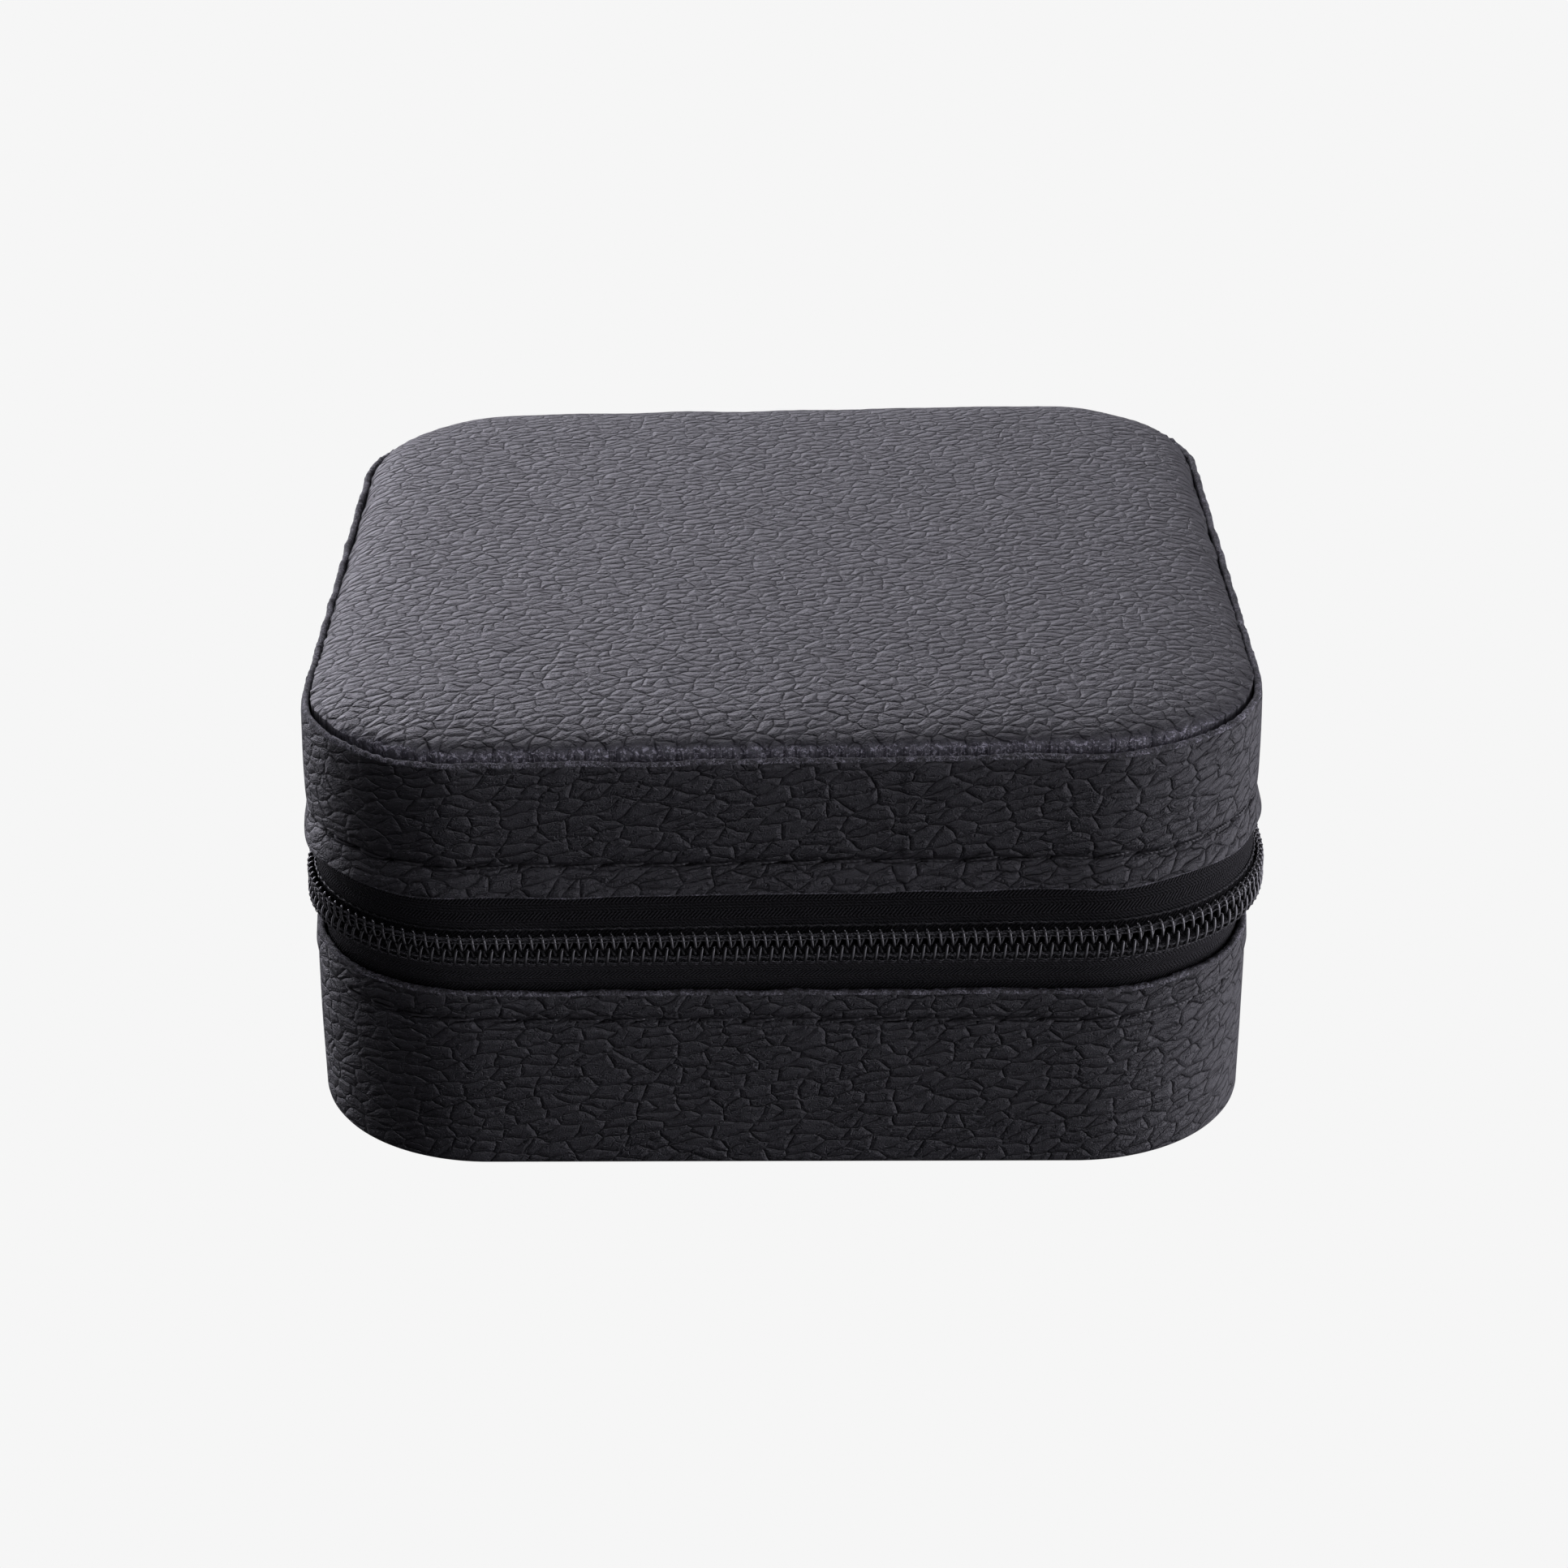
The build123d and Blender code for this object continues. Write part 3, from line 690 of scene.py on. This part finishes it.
PAD_INSET = 1.0
PAD_CROWN = 2.8  # the top's height above the rim, reached slowly at the front
PAD_CROWN_BACK = 2.75  # and reached fast at the back
FRONT_DRAW = 0.75  # how much further in the pad's front edge is pulled
GLINT_REACH = 0.7  # how far in the painted highlights of the front edge go
round_fine = stations(0.5)
# distances in from the pad's outline, closest together at its edge
pad_d = [0, 0.08, 0.2, 0.35, 0.55, 0.8, 1.1, 1.45, 1.85, 2.3, 2.9, 3.6, 4.4, 5.4, 6.6, 8, 9.6, 11.4, 13.4]
pad_d += [15.4, *np.linspace(17, HALF - PAD_INSET - 0.6, 18)]


def pad_height(s, d):
    """Height of the padded top above the rim at a distance in from its outline: fuller at the back."""
    worn_down = np.clip((20 - place(s, 0, 0)[..., 1]) / 50, 0, 1)
    full = PAD_CROWN_BACK - 3.15 * np.exp(-((d / 1.9) ** 0.75))
    gentle = PAD_CROWN - 2.4 * np.exp(-d / 5.5) - 0.1 * np.exp(-d / 0.35)
    return full + worn_down * (gentle - full)


def pad_ring(s, d):
    """One ring of the top's skin."""
    fade = np.exp(-((d / 1.4) ** 1.5))
    pucker = ripple(s, 31, 0.05, 90, 240) + ripple(s, 32, 0.05, 20, 60)
    inset = PAD_INSET + d + fade * (pucker + FRONT_DRAW * front_share(s))
    lift = fade * ripple(s, 33, 0.06, 70, 220) + np.exp(-d / 9) * ripple(s, 34, 0.05, 6, 30)
    swell = 0.05 * np.sin(d / 3.1 + ripple(s, 35, 1.2, 2, 9)) * np.exp(-(((d - 14) / 12) ** 2))
    return ring(s, inset, RIM_TOP + pad_height(s, d) + lift + swell)


def pad_edge_ring(s, d, z):
    """One ring of the pad's edge, which turns down and in below the rim."""
    return ring(s, PAD_INSET + d + FRONT_DRAW * front_share(s), z)


pad_rings = [pad_ring(round_fine, d) for d in pad_d[::-1]]
pad_rings += [pad_edge_ring(round_fine, 0.02, z) for z in (45.6, 44.8, 43.9)]
pad_rings += [pad_edge_ring(round_fine, 0.1, PAD_LOW + 0.1)]
pad_rings += [pad_edge_ring(round_fine, d, PAD_LOW) for d in (0.4, 4.0)]
pad_rings += [ring(round_fine, PAD_INSET + d, PAD_LOW) for d in (10, 16, 30, 48.4)]
pad = skin("padded_top", np.array(pad_rings), TOP_LEATHER, False)
# how strongly each ring of the pad's front edge gets painted highlights, fading inwards
wear_and_glint = [np.exp(-((d / GLINT_REACH) ** 1.5)) * front_share(round_fine) for d in pad_d[::-1]]
edge_glint = np.zeros(len(pad.data.vertices))
edge_glint[: len(wear_and_glint) * len(round_fine)] = np.concatenate(wear_and_glint)
pad.data.attributes.new("edge_glint", "FLOAT", "POINT").data.foreach_set("value", edge_glint.astype(np.float32))
finish_piece(pad, "lid", "black_leather", "lid_top_cover", "lid_top_foam", "lid_top_board")

# ---- zip: tapes, coils and their threads ----

zip_first, zip_last = SPINE_HALF + 0.1, ROUND - SPINE_HALF - 0.1
along_zip = stations(0.5, zip_first, zip_last)


def tuck(s):
    """How far in the zip's ends turn, under the edges of the spine."""
    end = np.minimum(s - zip_first, zip_last - s)
    return 1.5 * np.clip(1 - end / 4.0, 0, 1) ** 2


def tape_shift(s, inset, z):
    level = np.clip((4.0 - np.abs(z - ZIP_MIDDLE)) / 2.5, 0, 1)
    return level * (ripple(s, 41, 0.05, 10, 40) + 0.6 * tuck(s))


upper_tape_profile = [
    (0.14, 27.08), (0.14, 29.08), (0.28, 30.04), (0.85, 33.06), (0.86, 37.0), (1.36, 37.0), (1.36, 33.06),
    (0.78, 30.13), (0.64, 29.08), (0.64, 27.08),
]
lower_tape_profile = [
    (1.0, 15.4), (1.05, 21.1), (0.8, 22.45), (0.2, 24.42), (0.14, 26.08), (0.6, 26.08), (0.64, 24.53),
    (1.2, 22.56), (1.42, 21.21), (1.37, 15.4),
]
for name, profile, body, node in (
    ("zip_tape_upper", upper_tape_profile, "lid", "upper_zip_tape"),
    ("zip_tape_lower", lower_tape_profile, "base", "lower_zip_tape"),
):
    tape = band(name, along_zip, profile, TAPE, False, 0.8, shift=tape_shift)
    finish_piece(tape, body, "zip_tape", node)

COIL_MIDDLE = -0.45  # inset of the coil's centreline
COIL_SWING = 0.32
COIL_REACH = 0.93
COIL_CENTRE = 0.85  # height of a row's middle above or below the zip's
FILAMENT = 0.19  # radius of the coil's nylon
# each cord along a row of the coil: height from the zip's middle, inset, radius, and its wave with the turns
CORDS = {
    "core": (1.1, COIL_MIDDLE + 0.05, 0.14, 0.0),
    "thread_inner": (1.0, COIL_MIDDLE - COIL_SWING - 0.06, 0.07, 0.07),
    "thread_outer": (1.55, COIL_MIDDLE - COIL_SWING - 0.04, 0.07, 0.07),
    "tape_stitch": (2.15, 0.03, 0.11, 0.06),
}
cord_s = stations(0.3, zip_first + 0.3, zip_last - 0.3)
turns = int((zip_last - zip_first) / COIL_PITCH) - 1
phase = np.linspace(0, 2 * pi * turns, turns * 16 + 1)
for row, way, delay, body in (("upper", 1, 0.0, "lid"), ("lower", -1, 0.5, "base")):
    s = zip_first + COIL_PITCH * (0.4 + delay + (phase - 0.7 * np.cos(phase)) / (2 * pi))
    z = ZIP_MIDDLE + way * (COIL_CENTRE - COIL_REACH * np.cos(phase))
    inset = COIL_MIDDLE + COIL_SWING * np.sin(phase) + tuck(s)
    coil = tubes(f"zip_coil_{row}", place(s, inset, z)[None], heading(s), FILAMENT, NYLON, 7)
    finish_piece(coil, body, "nylon_coil", f"{row}_zip_coil")
    for part, (height, depth, thick, beat) in CORDS.items():
        wave = beat * np.cos(2 * pi * cord_s / COIL_PITCH)
        z = ZIP_MIDDLE + way * height + 0.8 * np.roll(wave, 1)
        path = place(cord_s, depth + wave + tuck(cord_s), z)
        cord = tubes(f"coil_{part}_{row}", path[None], UP, thick, THREAD, 5)
        finish_piece(cord, body, "thread")

# ---- spine ----

spine_s = stations(0.9, -SPINE_HALF - 0.4, SPINE_HALF + 0.4)


def spine_shift(s, inset, z):
    fold = np.sin((z - BASE_TOP) * 2 * pi / 3.9 + ripple(s, 51, 0.8, 2, 12))
    return 0.09 * fold * near(z, ZIP_MIDDLE, 7)


spine_profile = [
    (0.86, 15.4), (0.86, 20.32), (0.7, 21.31), (0.2, 22.45), (-0.18, 24.32), (-0.32, 27.17),
    (-0.18, 29.85), (0.2, 31.75), (0.7, 32.9), (0.86, 33.53), (0.86, 37.0), (1.38, 37.0), (1.38, 33.37),
    (1.1, 32.33), (0.68, 31.37), (0.34, 29.65), (0.22, 27.17), (0.34, 24.53), (0.7, 22.87), (1.12, 21.62),
    (1.38, 20.32), (1.38, 15.4),
]
spine = band("spine_leather", spine_s, spine_profile, WALL_LEATHER, False, 0.6, shift=spine_shift)
lining_profile = [
    (1.5, 21.1), (1.3, 22.87), (1.0, 27.17), (1.3, 31.37), (1.5, 32.8), (2.1, 32.8), (2.1, 31.18),
    (1.75, 27.17), (2.1, 22.87), (2.1, 21.1),
]
spine_lining = band("spine_velvet", spine_s, lining_profile, VELVET, False, 0.6, shift=spine_shift)
for piece, slot, node, high in (
    (spine, "black_leather", "spine_cover", 0.0218),
    (spine_lining, "velvet", "spine_lining", 0.0118),
):
    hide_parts(node)
    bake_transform(piece)

# ---- velvet linings, and the board behind the lid's ----


def nap(seed):
    """A shift for band that makes its pile gently uneven."""
    return lambda s, inset, z: ripple(s, seed, 0.03, 4, 60)


base_lining_profile = [
    (2.42, 2.45), (2.42, 20.66), (1.44, 20.83), (1.44, 21.16), (1.7, 21.39), (2.3, 21.48), (2.9, 21.36),
    (3.15, 21.05), (3.2, 20.55), (3.2, 2.45),
]
lid_lining_profile = [
    (1.44, 32.66), (1.44, 33.06), (2.42, 33.14), (2.42, 41.75), (3.18, 41.75), (3.2, 33.14), (3.12, 32.8),
    (2.8, 32.58), (2.2, 32.5), (1.7, 32.54),
]
for name, profile, seed, body, node, high in (
    ("base_wall_velvet", base_lining_profile, 16, "base", "base_wall_lining", 0.0195),
    ("lid_wall_velvet", lid_lining_profile, 15, "lid", "lid_wall_lining", 0.0115),
):
    lining = band(name, stations(0.9), profile, VELVET, step=1.0, shift=nap(seed))
    finish_piece(lining, body, "velvet", node)


wall_board_profile = [(1.42, 33.14), (1.42, 37.21), (0.86, 37.32), (0.86, 42.6), (2.38, 42.6), (2.38, 33.14)]
wall_board = band("lid_wall_board", stations(1.5), wall_board_profile, BOARD, step=1.5)
finish_piece(wall_board, "lid", "grey_board")


def velvet_panel(name, low, high, up, body, node):
    """A flat velvet panel inside the walls, whose pile side faces up or down."""
    face, back = (high, low) if up else (low, high)
    soft = 1 if up else -1
    rings = [(48, back), (20, back), (3.3, back), (3.22, (low + high) / 2), (3.35, face - soft * 0.06)]
    rings += [(inset, face) for inset in (3.7, 5, 8, 12, 16, 20, 26, 32, 38, 44, 48)]
    points = []
    for inset, z in rings:
        dent = soft * (-0.05 + ripple(round_coarse, int(inset), 0.03, 4, 30)) * (z == face)
        points.append(ring(round_coarse, inset, z + dent))
    panel = skin(name, np.array(points), VELVET, False)
    finish_piece(panel, body, "velvet", node)


velvet_panel("base_floor_velvet", 2.42, TRAY_FLOOR, True, "base", "base_floor_lining")
velvet_panel("lid_ceiling_velvet", CEILING, CEILING + 0.78, False, "lid", "lid_ceiling_lining")

# ---- the board under the lid's top ----

top_low, top_high = box_mm("lid_ceiling_lining")[1][2] + 0.05, PAD_LOW - 1.2
board_rings = [(48, top_low), (20, top_low), (2.5, top_low), (2.4, top_low + 0.1)]
board_rings += [(2.4, top_high), (2.6, top_high), (20, top_high), (48, top_high)]
board_points = np.array([ring(round_coarse, inset, z) for inset, z in board_rings])
ceiling_board = skin("ceiling_board", board_points, BOARD, False)
finish_piece(ceiling_board, "lid", "grey_board", "lid_board_shell")

# ---- tray: partition, ring rolls and dividers ----

low, high = box_mm("tray_partition")
partition = soft_bar("tray_partition_velvet", 1, low, high, 0.85, VELVET, 0.05, 61)
finish_piece(partition, "base", "velvet", "tray_partition")

ROLLS = 6
ROLL_SPACING = 15.4
ROLL_HALF = 7.68  # half a roll's thickness from front to back
ROLL_LENGTH = 43
ROLL_ROUNDING = 2.4  # of its ends
TRAY_HALF = 46.45  # from the middle to the velvet of the walls
TRAY_CORNER = 15.5


def ring_roll(number):
    """A soft roll across the tray's left half, whose outer end follows the tray's corners."""
    low, high = box_mm(f"ring_roll_{number}")
    centre = (number - (ROLLS + 1) / 2) * ROLL_SPACING
    radius = (high[2] - low[2]) / 2
    angle = np.arange(56) * 2 * pi / 56
    across, up = np.cos(angle), np.sin(angle)
    y_side = centre + ROLL_HALF * np.sign(across) * np.abs(across) ** 0.92
    reach = np.clip(np.abs(y_side) - (HALF - CORNER), 0, TRAY_CORNER - 0.1)
    left = -(HALF - CORNER) - np.sqrt(np.maximum(TRAY_CORNER**2 - reach**2, 0.5)) + 0.05
    ends = ROLL_ROUNDING * (1 - np.cos(np.linspace(0.25, pi / 2, 7)))
    middle = np.linspace(ROLL_ROUNDING, ROLL_LENGTH - 3, 34)[1:]
    first_bump, second_bump = np.random.default_rng(70 + number).uniform(0, 2 * pi, 2)
    rings = []
    for at in np.concatenate([ends, middle, ROLL_LENGTH - ends[::-1]]):
        end = min(at, ROLL_LENGTH - at, ROLL_ROUNDING)
        scale = 1 - (ROLL_ROUNDING - np.sqrt(ROLL_ROUNDING**2 - (ROLL_ROUNDING - end) ** 2)) / radius
        wobble = 1 + 0.008 * np.sin(at / 2.3 + first_bump + 2 * angle)
        wobble = wobble + 0.006 * np.sin(at / 1.1 + second_bump - 3 * angle)
        x = left + (high[0] - left) * at / ROLL_LENGTH
        y = np.clip(centre + (y_side - centre) * scale * wobble, -TRAY_HALF, TRAY_HALF)
        z = np.maximum(low[2] + radius + radius * up * scale * wobble, low[2] + 0.02)
        rings.append(np.stack([x, y, z], -1))
    roll = skin(f"ring_roll_velvet_{number}", np.array(rings), ROLL_VELVET, False)
    finish_piece(roll, "base", "velvet_roll", f"ring_roll_{number}")


for number in range(1, ROLLS + 1):
    ring_roll(number)

for name in ("front", "rear"):
    low, high = box_mm(f"divider_{name}")
    divider = soft_bar(f"divider_velvet_{name}", 0, low, high, 0.8, VELVET, 0.04, 81)
    finish_piece(divider, f"divider_{name}_lift", "velvet", f"divider_{name}")

# ---- lid pocket ----

SATIN_THICK = 0.4
POCKET_CORNER = 15.3  # radius of the two corners at its back
pocket_rng = np.random.default_rng(91)


def pocket_satin():
    """A satin sheet, gathered towards its mouth and drawn up to the ceiling along its other sides."""
    low, high = box_mm("lid_pocket")
    mouth, bag = low[1], low[2]
    across, back = np.meshgrid(np.linspace(-1, 1, 231), np.linspace(0, 1, 46) ** 1.3)
    y = mouth + 0.5 + back * (high[1] - mouth - 0.7)
    corner_run = np.sqrt(np.maximum(POCKET_CORNER**2 - (y - HALF + CORNER) ** 2, 1))
    wide = np.where(y > HALF - CORNER, HALF - CORNER + corner_run, HALF - 3.7)
    folds = np.zeros_like(across)
    for _ in range(9):
        count, start, weight = pocket_rng.uniform((22, 0, 0.4), (34, 2 * pi, 1))
        folds += weight * np.sin(count * across * pi / 2 + start + 2.5 * back * pocket_rng.normal())
    folds *= 0.16 * (0.35 + 0.9 * np.exp(-back * 4.0))
    edge = np.minimum((1 - np.abs(across)) * wide / 4.0, (1 - back) * 42 / 5.0)
    rise = (CEILING - 0.5 - bag - 0.5) * np.exp(-((edge / 0.55) ** 1.4))
    slack = -0.25 * np.sin(pi * np.clip(back * 1.2, 0, 1)) * (1 - across**2)
    z = np.minimum(bag + 0.75 + folds * (edge > 0.05) + slack + rise, CEILING - 0.45)
    lower = np.stack([across * wide, y, z], -1)
    upper = lower[:, ::-1] + (0, 0, SATIN_THICK)
    points = np.concatenate([lower, upper], 1)
    sheet = skin("lid_pocket_satin", points, SATIN, False, caps="strip", sharp=80)
    return finish_piece(sheet, "lid", "pocket_satin", "lid_pocket")


def pocket_hem():
    """The hem along the pocket's mouth, uneven where its elastic gathers it."""
    low, high = box_mm("pocket_elastic")
    t = np.linspace(0, 1, 300)
    gather = np.zeros_like(t)
    for _ in range(6):
        size, waves, start = pocket_rng.uniform((0.5, 40, 0), (1, 62, 2 * pi))
        gather += size * np.sin(waves * pi * t + start)
    loop = round_rect(1.5, 1.3, 0.55, 4)
    middle = (low + high)[1:] / 2
    rings = []
    for x, g in zip(low[0] + 0.1 + t * (high[0] - low[0] - 0.2), gather):
        y = middle[0] + loop[:, 0] * (1 + 0.06 * g)
        z = middle[1] + loop[:, 1] * (1 + 0.1 * g) + 0.05 * g
        rings.append(np.column_stack([np.full(len(loop), x), y, z]))
    hem = skin("pocket_elastic_hem", np.array(rings), SATIN, False, sharp=80)
    return finish_piece(hem, "lid", "pocket_satin", "pocket_elastic")


pocket = pocket_satin()
elastic = pocket_hem()

# ---- necklace tabs ----

low, high = box_mm("tab_anchor_strip")
anchor = soft_bar("tab_anchor_leather", 0, low, high, 0.36, TRIM_LEATHER, 0.0, 95, 1.5)
finish_piece(anchor, "lid", "lining_leather", "tab_anchor_strip")
t = np.linspace(-0.8, 0.8, 5)
x = np.arange(low[0] + 3.0, high[0] - 2.0, 2.6)
rows = []
for y_stitch in (low[1] + 0.9, high[1] - 0.9):
    z = low[2] - 0.02 + 0.1 * t**2 + 0 * x[:, None]
    rows.append(np.stack([x[:, None] + t, np.full((len(x), 5), y_stitch), z], -1))
anchor_stitches = tubes("tab_anchor_stitches", np.concatenate(rows), UP, 0.13, THREAD, 5)
finish_piece(anchor_stitches, "lid", "thread")

STRAP_LOW, STRAP_HIGH = 1.4, 0.2  # the strap's faces, below the node's top
STRAP_NOSE = 4.2  # radius of its rounded tip
STRAP_ROOT = np.array([0.02, 0.12, 0.3, 0.6, 1.0, 1.6])
SOCKET = [
    (0.05, -0.35), (1.5, -0.35), (1.85, -0.2), (1.95, 0.1), (2.3, 0.16), (2.75, 0.08), (2.9, -0.05),
    (2.9, -0.3), (0.05, -0.5),
]


def necklace_tab(name):
    """A leather strap with a rounded tip, stitched along its sides, and the socket of its press stud."""
    low, high = box_mm(f"necklace_tab_{name}")
    strap_low, strap_high = high[2] - STRAP_LOW, high[2] - STRAP_HIGH
    middle_x, half_width, tip = (low[0] + high[0]) / 2, (high[0] - low[0]) / 2, high[1]
    ends = STRAP_NOSE * (1 - np.cos(np.linspace(0.08, pi / 2, 12)))
    run = np.linspace(low[1] + 2.4, tip - STRAP_NOSE, 12)[:-1]
    rings = []
    for y_at in np.concatenate([low[1] + STRAP_ROOT, run, tip - ends[::-1]]):
        end = min(tip - y_at, STRAP_NOSE)
        width = 2 * (half_width - STRAP_NOSE + np.sqrt(max(STRAP_NOSE**2 - (STRAP_NOSE - end) ** 2, 0.05)))
        root = np.clip(1 - (y_at - low[1]) / 1.7, 0, 1)
        lip = 0.25 + 0.75 * np.clip(min(y_at - low[1], tip - y_at) / 0.35, 0, 1) ** 0.5
        thick = strap_high - strap_low + 0.36 * np.sin(pi * root)
        loop = round_rect(width, thick * lip, 0.34 * lip, 4)
        x, z = middle_x + loop[:, 0], (strap_low + strap_high) / 2 + loop[:, 1]
        rings.append(np.column_stack([x, np.full(len(loop), y_at), z]))
    strap = skin(f"necklace_strap_{name}", np.array(rings), TRIM_LEATHER, False)
    finish_piece(strap, f"tab_{name}", "lining_leather", f"necklace_tab_{name}")
    paths = []
    t = np.linspace(-0.75, 0.75, 5)
    for level, sink in ((strap_low - 0.02, 0.1), (strap_high + 0.02, -0.1)):
        for x_at in (middle_x - half_width + 0.9, middle_x + half_width - 0.9):
            for y_at in np.arange(low[1] + 2.6, tip - STRAP_NOSE - 0.6, 2.3):
                paths.append(np.stack([np.full(5, x_at), y_at + t, level + sink * t**2], -1))
    stitches = tubes(f"necklace_strap_stitches_{name}", np.array(paths), UP, 0.12, THREAD, 5)
    finish_piece(stitches, f"tab_{name}", "thread")
    cap_low, cap_high = box_mm(f"snap_cap_{name}")
    snap = [*(cap_low + cap_high)[:2] / 2, strap_high]
    socket = lathe(f"snap_socket_{name}", snap, SOCKET, NICKEL)
    finish_piece(socket, f"tab_{name}", "dark_nickel")


for name in ("left", "centre", "right"):
    necklace_tab(name)

# ---- CAD nodes that stay ----

kept = {"base_board_shell": BOARD}
for node in ("snap_studs", "zip_slider", "zip_pull", "snap_cap_left", "snap_cap_centre", "snap_cap_right"):
    kept[node] = NICKEL
for node, material in kept.items():
    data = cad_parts[node].data
    data.materials.clear()
    data.materials.append(material)
    if material is NICKEL:
        data.shade_smooth()
        data.set_sharp_from_angle(angle=radians(35))

# ---- floor, light and camera ----

PAPER = 0.9216  # brightness of the pale floor and background
FLOOR_HALF = 6.0
FLOOR_LEVEL = -0.0002

floor_mesh = bpy.data.meshes.new("floor")
floor_corners = [(-1, -1), (1, -1), (1, 1), (-1, 1)]
floor_points = [(x * FLOOR_HALF, y * FLOOR_HALF, FLOOR_LEVEL) for x, y in floor_corners]
floor_mesh.from_pydata(floor_points, [], [(0, 1, 2, 3)])
floor = bpy.data.objects.new("floor", floor_mesh)
bpy.context.scene.collection.objects.link(floor)
paper = bpy.data.materials.new("floor_paper")
paper.use_nodes = True
glow = Nodes(paper.node_tree)
glow.tree.nodes.clear()
emission = glow.add("Emission", {"Color": (1, 1, 1, 1), "Strength": PAPER}).outputs[0]
glow.add("OutputMaterial", {"Surface": emission})
floor_mesh.materials.append(paper)
floor.visible_glossy = False
floor.visible_diffuse = False
floor.visible_shadow = False

# each soft patch of light: azimuth from +Y towards +X, elevation, brightness at its middle, tightness
PATCHES = [
    (0, 24, 2.1, 15),
    (-20, 20, 1.5, 40),
    (-30, 14, 6.8, 40),
    (-46, -8, 2.2, 25),
    (100, -5, 3.6, 8),
    (180, -15, 0.37, 6),
    (60, -15, 1.1, 8),
    (180, 75, 45.0, 300),
]
LIGHT_TINT = (0.98, 0.955, 1.09, 1)

world = bpy.data.worlds.new("studio")
bpy.context.scene.world = world
world.use_nodes = True
sky = Nodes(world.node_tree)
sky.tree.nodes.clear()
where = sky.add("TexCoord", {}).outputs["Generated"]
light = 0.0
for azimuth, elevation, brightness, tightness in PATCHES:
    a, e = radians(azimuth), radians(elevation)
    direction = (sin(a) * cos(e), cos(a) * cos(e), sin(e))
    facing = sky.add("VectorMath", {0: where, 1: direction}, operation="DOT_PRODUCT").outputs["Value"]
    glow = sky.math("EXPONENT", sky.scale_add(facing, tightness, -tightness))
    light = sky.scale_add(glow, brightness, light)
seen = sky.add("LightPath", {}).outputs["Is Camera Ray"]
strength = sky.add("Mix", {0: seen, 2: light, 3: PAPER}, data_type="FLOAT").outputs[0]
tint = sky.blend(seen, LIGHT_TINT, (1, 1, 1, 1))
background = sky.add("Background", {"Color": tint, "Strength": strength}).outputs[0]
sky.add("OutputWorld", {"Surface": background})
bpy.context.scene.view_settings.view_transform = "Standard"

azimuth, elevation, roll = radians(-0.14), radians(26.02), radians(-0.07)
distance = 403.0  # from the target, in millimetres
target = Vector((0.346, 0, 20.41)) * MM
back = Vector((sin(azimuth) * cos(elevation), -cos(azimuth) * cos(elevation), sin(elevation)))
lens = bpy.data.cameras.new("camera")
lens.lens = 80.05
lens.sensor_width = 36.0
lens.clip_start = 0.01
lens.clip_end = 100.0
camera = bpy.data.objects.new("camera", lens)
camera.rotation_mode = "QUATERNION"
camera.location = target + back * distance * MM
camera.rotation_quaternion = back.to_track_quat("Z", "Y") @ Quaternion((0, 0, 1), roll)
bpy.context.scene.collection.objects.link(camera)
bpy.context.scene.camera = camera
